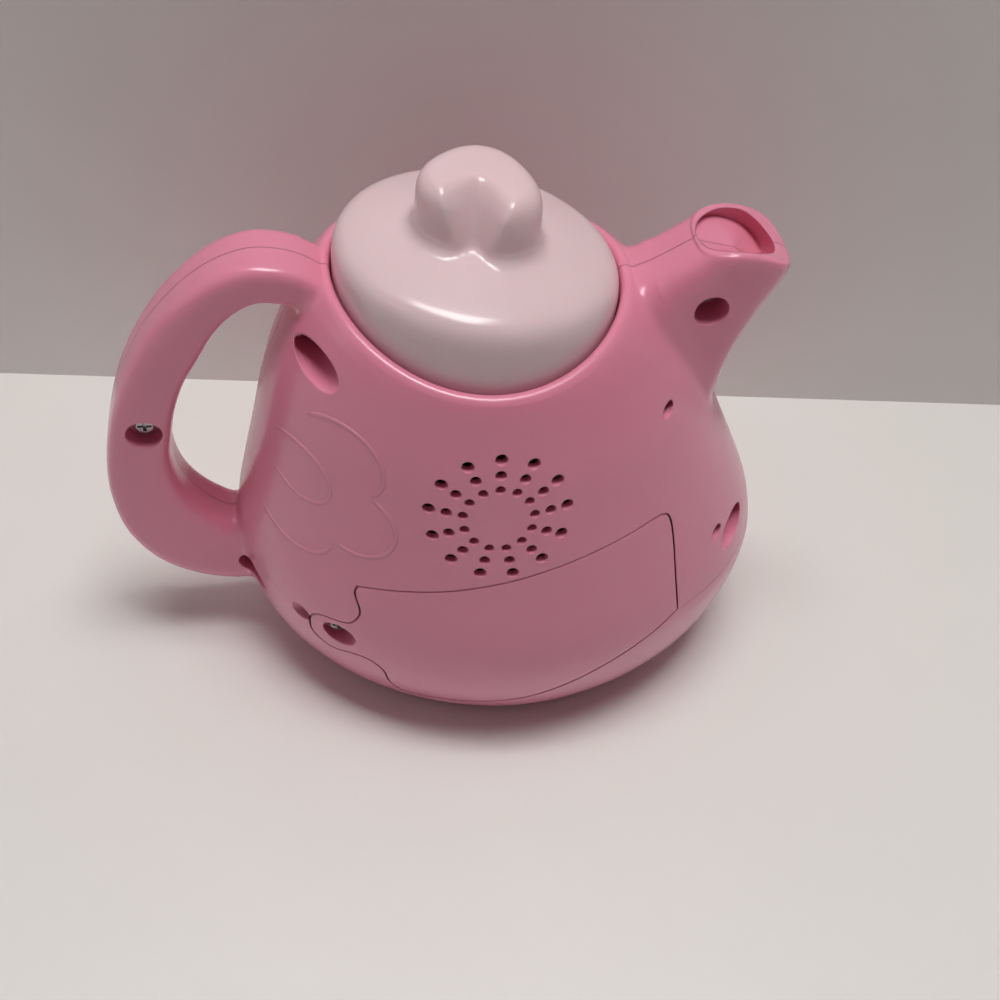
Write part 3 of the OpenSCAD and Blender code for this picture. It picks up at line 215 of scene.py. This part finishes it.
def drop(*objs):
    for obj in objs:
        bpy.data.objects.remove(obj)


def copy_of(obj, name):
    twin = bpy.data.objects.new(name, obj.data.copy())
    bpy.context.collection.objects.link(twin)
    return twin


def circle(n, r=1.0):
    a = np.arange(n) * 2 * math.pi / n
    return np.stack([r * np.cos(a), r * np.sin(a)], 1)


def rod_y(p, d, y_low, y_high, steps=64):
    """Cylinder along Y at a place across and a height, as a cutter."""
    c = circle(steps, d / 2)
    rings = [np.stack([p[0] + c[:, 0], np.full(steps, y), p[1] - c[:, 1]], 1)
             for y in (y_low, y_high)]
    return grid_solid("rod", rings, 1)


def ball(centre, radii, steps=48):
    """Ellipsoid, as a cutter for a soft hollow."""
    rings = []
    for a in np.linspace(-0.499, 0.499, 25) * math.pi:
        c = circle(steps, math.cos(a))
        level = np.stack([c[:, 0], c[:, 1], np.full(steps, math.sin(a))], 1)
        rings.append(np.array(centre) + level * radii)
    return grid_solid("ball", rings, 1)


def prism_y(points, y_low, y_high):
    """Prism along Y over an outline that runs clockwise as seen from the speaker's side."""
    pts = np.asarray(points, float)
    n = len(pts)
    verts = [(q[0], y, q[1]) for y in (y_low, y_high) for q in pts]
    faces = [(j, (j + 1) % n, n + (j + 1) % n, n + j) for j in range(n)]
    faces += [tuple(range(n - 1, -1, -1)), tuple(range(n, 2 * n))]
    obj = new_object("prism", verts, faces, 1)
    fix_normals(obj)
    return obj


def fix_normals(obj):
    bm = bmesh.new()
    bm.from_mesh(obj.data)
    bmesh.ops.triangulate(bm, faces=[f for f in bm.faces if len(f.verts) > 4])
    bmesh.ops.recalc_face_normals(bm, faces=bm.faces)
    bm.to_mesh(obj.data)
    bm.free()


def drawn_in(points, gap):
    p = np.asarray(points, float)
    u = p - np.roll(p, 1, 0)
    v = np.roll(p, -1, 0) - p
    nu = np.stack([u[:, 1], -u[:, 0]], 1) / np.linalg.norm(u, axis=1)[:, None]
    nv = np.stack([v[:, 1], -v[:, 0]], 1) / np.linalg.norm(v, axis=1)[:, None]
    m = nu + nv
    return p + gap * m * 2 / (m * m).sum(1)[:, None]


def soften(obj, centres, reach, rounds, keep=None):
    """Rounds the surface near a set of points by moving each vertex towards its neighbours."""
    mesh = obj.data
    n = len(mesh.vertices)
    co = np.empty(n * 3)
    mesh.vertices.foreach_get("co", co)
    co = co.reshape(-1, 3) / MM
    edges = np.empty(len(mesh.edges) * 2, int)
    mesh.edges.foreach_get("vertices", edges)
    edges = edges.reshape(-1, 2)
    tree = KDTree(len(centres))
    for i, c in enumerate(centres):
        tree.insert(c, i)
    tree.balance()
    near = np.array([tree.find(c)[2] for c in co])
    weight = np.clip(1 - near / reach, 0, 1) ** 0.7
    if keep is not None:
        weight *= keep(co)
    live = np.where(weight > 0)[0]
    count = np.bincount(edges.ravel(), minlength=n)
    for _ in range(rounds):
        total = np.zeros_like(co)
        np.add.at(total, edges[:, 0], co[edges[:, 1]])
        np.add.at(total, edges[:, 1], co[edges[:, 0]])
        mean = total / np.maximum(count, 1)[:, None]
        co[live] += 0.5 * weight[live, None] * (mean[live] - co[live])
    mesh.vertices.foreach_set("co", (co * MM).ravel())
    mesh.update()


def meeting_points(obj, index_a, index_b):
    """Vertices where faces of two material numbers meet."""
    mesh = obj.data
    seen = {index_a: set(), index_b: set()}
    for poly in mesh.polygons:
        if poly.material_index in seen:
            seen[poly.material_index].update(poly.vertices)
    return [mesh.vertices[i].co / MM for i in seen[index_a] & seen[index_b]]


def set_index(obj, number):
    obj.data.polygons.foreach_set("material_index", [number] * len(obj.data.polygons))


def finish_smooth(obj, degrees=SMOOTH_ANGLE):
    mesh = obj.data
    mesh.polygons.foreach_set("use_smooth", [True] * len(mesh.polygons))
    mesh.set_sharp_from_angle(angle=math.radians(degrees))
    mesh.update()


# Rings of the body, outside and inside
ROUND = 256
t_ring = np.arange(ROUND) * 2 * math.pi / ROUND
rows = spline(BODY, 8)
outer_rings = [skin_ring(r, t_ring) for r in rows]
crest = []
for share, rise in ((0.12, 0.75), (0.3, 1.15), (0.5, 1.3), (0.7, 1.22), (0.87, 0.8), (0.97, 0.2),
                    (1.12, -1.2)):
    r = RIM_OUT_R + (RIM_R - RIM_OUT_R) * share
    z = 0.991 * BODY_H + rise - rim_fall(t_ring)
    crest.append(np.stack([r * np.cos(t_ring), -r * np.sin(t_ring), z], 1))
reverse = [ring[::-1] for ring in outer_rings + crest]
pot = grid_solid("pot", reverse)

inner_rings = []
for i in range(0, len(rows) - 9, 4):
    ring = outer_rings[i]
    along = outer_rings[min(i + 1, len(rows) - 1)] - outer_rings[max(i - 1, 0)]
    around = np.roll(ring, -1, 0) - np.roll(ring, 1, 0)
    normal = np.cross(along, around)
    normal /= np.linalg.norm(normal, axis=1)[:, None]
    inside = ring - WALL * normal
    inside[:, 2] = np.maximum(inside[:, 2], FLOOR_H + FLOOR_STEP * i)
    inner_rings.append(inside)
low_z = 0.965 * BODY_H - rim_fall(t_ring)
for r, z in ((RIM_R + WELL_WALL, low_z), (RIM_R + WELL_WALL, np.full(ROUND, WELL_LOW))):
    inner_rings.append(np.stack([r * np.cos(t_ring), -r * np.sin(t_ring), z], 1))
cavity = grid_solid("cavity", [ring[::-1] for ring in inner_rings], 1)


def superellipse(half_a, half_b, power, steps):
    """Points at equal steps along a rounded rectangle: its two coordinates."""
    f = np.linspace(0, 2 * math.pi, 3001)
    u = half_a * flat_power(np.cos(f), 2 / power)
    v = half_b * flat_power(np.sin(f), 2 / power)
    run = np.concatenate([[0], np.cumsum(np.hypot(np.diff(u), np.diff(v)))])
    at = np.linspace(0, run[-1], steps + 1)[:-1]
    return np.interp(at, run, u), np.interp(at, run, v)


def tube_rings(table, reach, half_w, power, bulge_w, per, steps, depth=0.0, top_depth=None):
    rings = []
    for row in spline(table, per):
        upper = np.array([row[0] * reach, row[1] * BODY_H])
        lower = np.array([row[2] * reach, row[3] * BODY_H])
        mid, half = (upper + lower) / 2, np.linalg.norm(upper - lower) / 2
        n = (upper - lower) / (2 * half)
        travel = np.array([n[1], -n[0]])
        wide = half_w * (row[4] if len(row) > 4 else 1) - depth
        bulge = bulge_w * (row[5] if len(row) > 4 else 0)
        top = depth if top_depth is None else top_depth
        sharp = float(np.interp(len(rings) / (per * (len(table) - 1)), (0, 0.5, 1), power))
        u, v = superellipse(half - (depth + top) / 2, wide, sharp, steps)
        u = u + (depth - top) / 2
        q = mid[None] + n[None] * u[:, None] + travel[None] * (bulge * np.abs(v / wide) ** 3)[:, None]
        rings.append(np.stack([q[:, 0], -v, q[:, 1]], 1))
    return rings


handle_rings = tube_rings(HANDLE, HANDLE_REACH, HANDLE_W / 2, TUBE_POWERS, 0, 7, 96)
for ring in handle_rings:
    ring[:, 0] *= -1
handle = grid_solid("handle", handle_rings, 2)
fix_normals(handle)
spout_rings = tube_rings(SPOUT, SPOUT_REACH, SPOUT_W / 2, TIP_POWERS, SPOUT_W, 9, 120)
spout = grid_solid("spout", spout_rings, 3)
fix_normals(spout)

boolean(pot, [handle, spout], "UNION")


def off_the_rim(co):
    """1 where the fillets may move the surface, down to 0 at the rim."""
    beside = np.clip((np.hypot(co[:, 0], co[:, 1]) - STILL_R) / STILL_RUN, 0, 1)
    return np.clip(beside + (co[:, 2] < STILL_H), 0, 1)


points = meeting_points(pot, 0, 2) + meeting_points(pot, 0, 3)
soften(pot, points, FILLET_REACH, FILLET_ROUNDS, off_the_rim)
set_index(pot, 0)
drop(handle, spout)

# Bosses round the channels stay in the hollow of the body
for place, d in CHANNELS[2:]:
    bosses = [rod_y(place, d + 2 * BOSS_WALL, -FAR, 0), rod_y(place, SHANK_BORE, -1, FAR)]
    if place == CHANNELS[2][0]:
        bosses.append(rod_y(SCOOP, SCOOP_D + 2 * BOSS_WALL, -FAR, SCOOP_BOSS_Y))
    boolean(cavity, bosses, "DIFFERENCE")
    drop(*bosses)
cup_y = float(skin_y(*DOOR_SCREW)) + DOOR_CUP_DEPTH
cup = rod_y(DOOR_SCREW, DOOR_BORE + 2 * BOSS_WALL, -FAR, cup_y)
boolean(cavity, [cup], "DIFFERENCE")
drop(cup)

well_rings = [np.stack([RIM_R * np.cos(t_ring), RIM_R * np.sin(t_ring), np.full(ROUND, z)], 1)
              for z in (WELL_LOW - 2, WELL_TOP)]
well = grid_solid("well", well_rings, 1)
core = tube_rings(SPOUT, SPOUT_REACH, SPOUT_W / 2, MOUTH_POWERS, SPOUT_W, 9, 96, MOUTH_WALL,
                  MOUTH_TOP_WALL)
lift = np.array([0.148, 0, 0.989])
mouth = grid_solid("mouth", core[MOUTH_FIRST_RING:] + [core[-1] + MOUTH_LIFT * lift], 1)
fix_normals(mouth)
boolean(pot, [cavity, well, mouth], "DIFFERENCE")
drop(cavity, well, mouth)

cutters = [rod_y(place, d, -FAR, -SCREW_SEAT) for place, d in CHANNELS]
cutters += [rod_y(place, PIN_D, -FAR, float(skin_y(*place)) + 2 * WALL) for place in PIN_HOLES]
for share, d in GRILLE_ROWS:
    for ray in range(GRILLE_RAYS):
        a = 2 * math.pi * ray / GRILLE_RAYS
        place = (GRILLE_X + GRILLE_R * share * math.sin(a),
                 GRILLE_H + GRILLE_R * share * math.cos(a))
        cutters.append(rod_y(place, d, -FAR, float(skin_y(*place)) + 2.4 * WALL, 40))
cutters.append(rod_y(DOOR_SCREW, DOOR_BORE, -FAR, cup_y - BOSS_WALL))
cutters.append(rod_y(SCOOP, SCOOP_D, -FAR, SCOOP_END_Y))
tab_scoop_y = float(skin_y(*TAB_SCOOP)) - TAB_SCOOP_SINK
cutters.append(ball((TAB_SCOOP[0], tab_scoop_y, TAB_SCOOP[1]), TAB_SCOOP_RADII))
boolean(pot, cutters, "DIFFERENCE")
drop(*cutters)

# Seam of the base, door outline and the split into pieces
scale = np.array([BELLY_W / 2, DOOR_TOP])
seam = spline(np.array(SEAM), 6) * scale
seam_outline = np.vstack([
    [[BELLY_W, 0.17 * BELLY_W + 2 * WALL], [0.58 * BELLY_W, 0.545 * DOOR_TOP]],
    seam, [[-0.35 * BELLY_W, 0.19 * DOOR_TOP], [-BELLY_W, 0.17 * DOOR_TOP]],
])
top_corner = [(-0.445, 0.735), (-0.437, 0.77), (-0.418, 0.784)]
top_line = spline(np.array(DOOR_TAB[:-2] + top_corner + DOOR_UPPER[2:]), 6) * scale
door_line = np.vstack([top_line[:-1], seam[:-1]])
door_hole = np.vstack([top_line[1:-1], seam - [0, 1.0]])



def under(gap):
    """All that lies below the base's seam, less a gap."""
    floor = [[-BELLY_W, -9], [BELLY_W, -9]]
    return prism_y(np.vstack([seam_outline - [0, gap], floor]), -FAR, FAR)


low, high = under(SEAM_GAP), under(0)
door_cut = prism_y(door_hole, -FAR, DOOR_CUT_Y)
door_in = prism_y(drawn_in(door_line, DOOR_GAP), -FAR, DOOR_CUT_Y)
base = boolean(copy_of(pot, "base"), [low], "INTERSECT")
boolean(pot, [high], "DIFFERENCE")
door = boolean(copy_of(pot, "door"), [door_in], "INTERSECT")
boolean(pot, [door_cut], "DIFFERENCE")
drop(low, high, door_cut, door_in)


def slab(y_low, y_high):
    box = [(-SIDE, -SIDE), (-SIDE, OVER), (SIDE, OVER), (SIDE, -SIDE)]
    return prism_y(box, y_low, y_high)


rear_space, front_space = slab(-FAR - 9, -HALF_SEAM), slab(HALF_SEAM, FAR + 9)
rear = boolean(copy_of(pot, "rear"), [rear_space], "INTERSECT")
front = boolean(pot, [front_space], "INTERSECT")
front.name = "front"
drop(rear_space, front_space)


def heart_unit(a):
    return np.stack([np.sin(a) ** 3 / 2, (13 * np.cos(a) - 5 * np.cos(2 * a) - 2 * np.cos(3 * a)
                                          - np.cos(4 * a) + 2.6) / 32], 1)


heart = heart_unit(np.arange(96) * 2 * math.pi / 96) * (BEZEL_W + HEART_GAP)
heart_cut = prism_y(heart + [BUTTON_X, BUTTON_H], HEART_CUT_Y, FAR)
boolean(front, [heart_cut], "DIFFERENCE")
drop(heart_cut)

# Lid and its heart knob
profile = np.array([
    [LID_R, 122.0], [LID_R, 131.0], [LID_R, 138.5], [37.35, 141.3], [36.9, 143.5], [36.0, 145.3],
    [34.8, 146.6], [33.5, 147.5], [32.0, 148.25], [29.0, 149.4], [24.0, 151.1], [17.0, 153.2],
    [9.0, 155.0], [3.5, 155.5], [0.02, 155.55],
])
LID_WALL = 2.2
shape = spline(profile, 5)
inside = shape.copy()
d = np.gradient(shape, axis=0)
inside += LID_WALL * np.stack([-d[:, 1], d[:, 0]], 1) / np.linalg.norm(d, axis=1)[:, None]
inside = inside[(inside[:, 0] > 0.3)]
inside[0, 1] = shape[0, 1]
inside[-1, 0] = 0.02
section = np.vstack([inside[::-1], shape])
lid_rings = [np.stack([r * np.cos(t_ring), r * np.sin(t_ring), np.full(ROUND, z)], 1)
             for r, z in section]
lid = grid_solid("lid_piece", lid_rings)
fix_normals(lid)

KNOB_H, KNOB_MID, KNOB_PIVOT, KNOB_SINK = 15.0, (-0.3, -1.5), 4.5, 0.8
KNOB_BLEND, GROOVE_SOFT = 1.5, 5
KNOB_FILLET, KNOB_ROUNDS = 2.6, 30
LEAN_FROM, LEAN_RUN = 126, 12
phi = np.arange(240) * 2 * math.pi / 240
# Heights up the knob, then how far its outline is drawn in, how far the groove stays off the pivot
# and the groove's half angle in degrees
KNOB = [
    (-0.3, -0.9, 17.0, 34), (0.0, -0.6, 16.3, 34), (0.08, -0.15, 15.8, 34), (0.2, 0, 15.0, 34),
    (0.4, 0, 13.4, 34), (0.6, 0.15, 11.6, 34), (0.72, 0.5, 10.4, 35), (0.82, 1.2, 9.2, 37),
    (0.89, 2.1, 8.2, 39), (0.94, 3.1, 7.3, 42), (0.975, 4.5, 6.4, 45), (0.993, 6.2, 5.6, 48),
    (1.0, 8.5, 4.8, 52),
]
delta = np.linspace(0, 2 * math.pi, 1441)
wave = 15.6 - 0.9 * np.cos(3 * delta)
out_x, out_y = wave * np.sin(delta), -wave * np.cos(delta) - KNOB_PIVOT
knob_angle = np.unwrap(np.arctan2(out_x, -out_y))
outline = np.interp(phi, knob_angle, np.hypot(out_x, out_y), period=2 * math.pi)
knob_rings = []
for share, inset, apex, spread in KNOB:
    groove = math.tan(math.radians(spread))
    low, high = np.zeros(len(phi)), np.full(len(phi), 40.0)
    for _ in range(40):
        r = (low + high) / 2
        leg = np.sqrt((r * np.sin(phi)) ** 2 + GROOVE_SOFT) - math.sqrt(GROOVE_SOFT)
        depth = r * np.cos(phi) - apex - leg / groove
        low, high = np.where(depth < 0, r, low), np.where(depth < 0, high, r)
    rim = outline - inset
    r = -np.log(np.exp(-rim / KNOB_BLEND) + np.exp(-high / KNOB_BLEND)) * KNOB_BLEND
    x, y = r * np.sin(phi) + KNOB_MID[0], -r * np.cos(phi) + KNOB_MID[1] + KNOB_PIVOT
    z = BODY_H + LID_RISE - KNOB_SINK + share * KNOB_H
    knob_rings.append(np.stack([x, y, np.full(len(phi), z)], 1))
stack = np.array(knob_rings).reshape(len(knob_rings), -1)
knob_rings = list(spline(stack, 4).reshape(-1, len(phi), 3))
knob = grid_solid("knob", knob_rings, 1)
fix_normals(knob)
boolean(lid, [knob], "UNION")
soften(lid, meeting_points(lid, 0, 1), KNOB_FILLET, KNOB_ROUNDS)
set_index(lid, 0)
drop(knob)
lid.data.transform(Matrix.Rotation(LID_TURN, 4, "Z"))
for vert in lid.data.vertices:
    x, y, z = vert.co
    share = min(max((z / MM - LEAN_FROM) / LEAN_RUN, 0), 1)
    vert.co.z = z - share * (LID_LEAN * x + LID_DIP * y)


# Plain flower in thin raised lines on the left of the speaker's side
FLOWER, PETAL_REACH, PETAL_R, HEART_R, PETAL_START = (-49.0, 94.5), 15.5, 10.8, 8.2, 12
LINE_HALF_W, LINE_RISE, LINE_SINK, LINE_FRONT_Y = 0.7, 0.26, 0.05, -16


def about(centre, r, a):
    return centre[0] + r * math.cos(a), centre[1] + r * math.sin(a)


petals = [about(FLOWER, PETAL_REACH, math.radians(45 + 72 * k)) for k in range(5)]
lines = [[about(FLOWER, HEART_R, a) for a in np.linspace(-2.6, 2.4, 60)]]
for k, petal in enumerate(petals):
    others = petals[:k] + petals[k + 1:]
    run = []
    for a in np.linspace(0, 2 * math.pi, 181) + math.radians(225 + 72 * k):
        p = about(petal, PETAL_R, a)
        clear = all(math.hypot(p[0] - q[0], p[1] - q[1]) > PETAL_R for q in others)
        outside = math.hypot(p[0] - FLOWER[0], p[1] - FLOWER[1]) > PETAL_START
        if clear and outside and float(skin_y(*p)) < LINE_FRONT_Y:
            run.append(p)
        elif run:
            lines.append(run)
            run = []
    if run:
        lines.append(run)
ridges = []
for line in lines:
    hits = [rear.ray_cast(Vector((x, -FAR, z)) * MM, Vector((0, 1, 0))) for x, z in line]
    path = np.array([tuple(h[1]) for h in hits if h[0]]) / MM
    out = np.array([tuple(h[2]) for h in hits if h[0]])
    if len(path) < 8:
        continue
    for _ in range(4):
        out[1:-1] = (out[:-2] + out[1:-1] + out[2:]) / 3
    out /= np.linalg.norm(out, axis=1)[:, None]
    ahead = np.gradient(path, axis=0)
    ahead /= np.linalg.norm(ahead, axis=1)[:, None]
    across = np.cross(ahead, out)
    c = circle(12)
    rings = []
    for i in range(len(path)):
        ends = min(1, (i + 0.3) / 6, (len(path) - 0.7 - i) / 6)
        rings.append(path[i] + across[i] * c[:, :1] * LINE_HALF_W * ends
                     + out[i] * (c[:, 1:] * LINE_RISE * ends - LINE_SINK))
    ridge = grid_solid("ridge", rings)
    fix_normals(ridge)
    ridges.append(ridge)
flower = ridges[0]
bm = bmesh.new()
for ridge in ridges:
    bm.from_mesh(ridge.data)
bm.to_mesh(flower.data)
bm.free()
drop(*ridges[1:])
flower.name = "flower_lines"
flower.data.polygons.foreach_set("use_smooth", [True] * len(flower.data.polygons))
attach(flower, "pot")

for piece, body, replaced, slot in (
    (rear, "pot", "rear_shell", "shell_pink"), (front, "pot", "front_shell", "shell_pink"),
    (base, "pot", "base_cover", "shell_pink"), (door, "door", "battery_door", "door_pink"),
    (lid, "lid", "lid", "lid_pink"),
):
    finish_smooth(piece)
    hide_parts(replaced)
    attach(piece, body)


def material(name, color, rough, metallic=0.0, coat=0.0, subsurface=0.0, radius=0.0,
             grain=900.0, grain_height=0.012, patch=30.0, spread=0.06, tint=0.03):
    """Node material: mottled colour and roughness at one scale, fine surface grain at another."""
    mat = bpy.data.materials.new(name)
    mat.use_nodes = True
    tree = mat.node_tree
    shader = tree.nodes["Principled BSDF"]
    shader.inputs["Metallic"].default_value = metallic
    shader.inputs["Coat Weight"].default_value = coat
    if subsurface:
        shader.inputs["Subsurface Weight"].default_value = subsurface
        shader.inputs["Subsurface Radius"].default_value = (1.0, 0.45, 0.4)
        shader.inputs["Subsurface Scale"].default_value = 0.004
    place = tree.nodes.new("ShaderNodeTexCoord")

    def noise(scale, detail):
        node = tree.nodes.new("ShaderNodeTexNoise")
        node.inputs["Scale"].default_value = scale
        node.inputs["Detail"].default_value = detail
        tree.links.new(place.outputs["Object"], node.inputs["Vector"])
        return node.outputs["Fac"]

    soft = noise(patch, 4)
    ramp = tree.nodes.new("ShaderNodeValToRGB")
    dark, light = ramp.color_ramp.elements
    dark.position, light.position = 0.25, 0.75
    dark.color = (*(c * (1 - tint) for c in color), 1)
    light.color = (*(min(1, c * (1 + tint)) for c in color), 1)
    tree.links.new(soft, ramp.inputs["Fac"])
    tree.links.new(ramp.outputs["Color"], shader.inputs["Base Color"])
    gloss = tree.nodes.new("ShaderNodeMapRange")
    gloss.inputs["To Min"].default_value = max(rough - spread, 0.02)
    gloss.inputs["To Max"].default_value = rough + spread
    tree.links.new(noise(3.7 * patch, 6), gloss.inputs["Value"])
    tree.links.new(gloss.outputs["Result"], shader.inputs["Roughness"])
    bump = tree.nodes.new("ShaderNodeBump")
    bump.inputs["Strength"].default_value = 0.5
    bump.inputs["Distance"].default_value = grain_height * MM
    tree.links.new(noise(grain, 2), bump.inputs["Height"])
    if radius:
        bevel = tree.nodes.new("ShaderNodeBevel")
        bevel.samples = 4
        bevel.inputs["Radius"].default_value = radius * MM
        tree.links.new(bevel.outputs["Normal"], bump.inputs["Normal"])
    tree.links.new(bump.outputs["Normal"], shader.inputs["Normal"])
    return mat


pink = material("pink", (0.85, 0.285, 0.415), 0.235, coat=0.15, subsurface=0.12, radius=0.6, tint=0.01,
                spread=0.02, grain=240, grain_height=0.004)
pale = material("pale", (0.86, 0.64, 0.675), 0.235, coat=0.1, subsurface=0.35, radius=0.4, tint=0.01,
                spread=0.02, grain=240, grain_height=0.004)
rose = material("rose", (0.75, 0.02, 0.12), 0.22, subsurface=0.2, radius=0.4, spread=0.03)
white = material("white", (0.8, 0.79, 0.76), 0.4, tint=0.02)
black = material("black", (0.02, 0.02, 0.022), 0.45, grain=1500, grain_height=0.03, tint=0.15)
steel = material("steel", (0.5, 0.5, 0.51), 0.37, metallic=1.0, patch=200, spread=0.07, tint=0.08)
bright = material("bright", (0.75, 0.75, 0.76), 0.2, metallic=1.0, patch=150, tint=0.05)
silicone = material("silicone", (0.06, 0.06, 0.065), 0.6, grain=2000, grain_height=0.02, tint=0.1)
board = material("board", (0.01, 0.12, 0.04), 0.4, patch=400, tint=0.25)
cell = material("cell", (0.03, 0.035, 0.045), 0.36, patch=90, tint=0.1)
paper = material("paper", (0.012, 0.012, 0.013), 0.8, grain=2500, grain_height=0.06, tint=0.2)
clear = material("clear", (0.85, 0.87, 0.9), 0.15, patch=300, tint=0.01)
wire = material("wire", (0.4, 0.02, 0.02), 0.4, patch=250, tint=0.08)
brass = material("brass", (0.75, 0.55, 0.25), 0.2, metallic=1.0, patch=200, tint=0.06)
for piece in (rear, front, base, door, lid, flower):
    for i in range(len(piece.data.materials)):
        piece.data.materials[i] = pale if piece == lid else pink
FINISH = {
    rose: ["heart_button"],
    white: ["lid_carrier", "lid_guide", "button_bezel", "switch_knob"],
    black: ["battery_box", "power_switch", "sound_chip", "capacitors", "speaker_clamp",
            "speaker_frame"],
    steel: ["shell_screws", "base_screws", "door_screw", "lid_screw", "guide_screws",
            "clamp_screws", "box_screws", "board_screws", "lid_spring", "speaker_magnet"],
    bright: ["contact_springs", "contact_plates"],
    silicone: ["lid_pad", "button_pad"],
    board: ["lid_switch", "circuit_board"],
    cell: ["battery_1", "battery_2", "battery_3"],
    paper: ["speaker_cone"],
    clear: ["led"],
    brass: ["tilt_switch"],
    wire: ["battery_lead", "speaker_lead"],
}
for mat, names in FINISH.items():
    for name in names:
        nodes[name].data.materials.clear()
        nodes[name].data.materials.append(mat)

# Camera as the photograph's: angles in degrees, distances in millimetres, focal length in pixels
ELEVATION, AZIMUTH, ROLL = (math.radians(a) for a in (49.13, -12.15, 6.0))
DISTANCE, TARGET, FOCAL_PX, FRAME_PX = 423.46, Vector((12.61, 0, 44.96)), 1350, 1000
SENSOR_W = 36
back = Vector((math.sin(AZIMUTH) * math.cos(ELEVATION), -math.cos(AZIMUTH) * math.cos(ELEVATION),
               math.sin(ELEVATION)))
side = (-back).cross(Vector((0, 0, 1))).normalized()
rise = side.cross(-back)
right = side * math.cos(ROLL) + rise * math.sin(ROLL)
up = -side * math.sin(ROLL) + rise * math.cos(ROLL)
eye = TARGET + back * DISTANCE
camera = bpy.data.objects.new("camera", bpy.data.cameras.new("camera"))
bpy.context.collection.objects.link(camera)
camera.matrix_world = Matrix((
    (right.x, up.x, back.x, eye.x * MM), (right.y, up.y, back.y, eye.y * MM),
    (right.z, up.z, back.z, eye.z * MM), (0, 0, 0, 1)))
camera.data.sensor_width = SENSOR_W
camera.data.lens = SENSOR_W * FOCAL_PX / FRAME_PX
camera.data.clip_start = 0.02
bpy.context.scene.camera = camera


def floor_point(px, py):
    """Point of the table under a pixel of the photograph."""
    ray = right * (px - FRAME_PX / 2) - up * (py - FRAME_PX / 2) - back * FOCAL_PX
    return eye + ray * (-eye.z / ray.z)


def stage_sheet(name, corners, mat):
    mesh = bpy.data.meshes.new(name)
    mesh.from_pydata([tuple(c * MM) for c in corners], [], [(0, 1, 2, 3)])
    mesh.materials.append(mat)
    obj = bpy.data.objects.new(name, mesh)
    bpy.context.collection.objects.link(obj)


edge_a, edge_b = floor_point(0, 373), floor_point(1000, 405)
along_edge = (edge_b - edge_a).normalized()
near = Vector((along_edge.y, -along_edge.x, 0))
mid = (edge_a + edge_b) / 2
WIDE, DEEP, TALL = 3000, 3000, 1600
table = material("table", (0.9, 0.885, 0.86), 0.4, patch=9, spread=0.05, tint=0.015, grain=350,
                 grain_height=0.05)
wall = material("wall", (0.86, 0.83, 0.815), 0.7, patch=7, tint=0.03, grain=300, grain_height=0.08)
left, right_end = mid - along_edge * WIDE, mid + along_edge * WIDE
wall_top = Vector((0, 0, TALL))
stage_sheet("table_top", [left, right_end, right_end + near * DEEP, left + near * DEEP], table)
stage_sheet("back_wall", [left, right_end, right_end + wall_top, left + wall_top], wall)


def area_light(name, place, aim, size, power, color=(1, 1, 1)):
    data = bpy.data.lights.new(name, "AREA")
    data.shape = "RECTANGLE"
    data.size, data.size_y = size
    data.energy, data.color = power, color
    obj = bpy.data.objects.new(name, data)
    bpy.context.collection.objects.link(obj)
    obj.location = place
    obj.rotation_euler = (Vector(aim) - Vector(place)).to_track_quat("-Z", "Y").to_euler()


area_light("key", (0.04, 0.06, 1.5), (0, 0.0, 0.07), (0.8, 0.6), 22, (1, 0.985, 0.96))
area_light("side", (-0.9, -0.1, 0.5), (0, 0, 0.07), (0.3, 0.6), 0.3)
world = bpy.data.worlds.new("world")
bpy.context.scene.world = world
world.use_nodes = True
sky = world.node_tree.nodes["Background"]
sky.inputs["Color"].default_value = (1, 0.99, 0.98, 1)
sky.inputs["Strength"].default_value = 0.08
bpy.context.scene.view_settings.view_transform = "Standard"

bpy.context.view_layer.update()
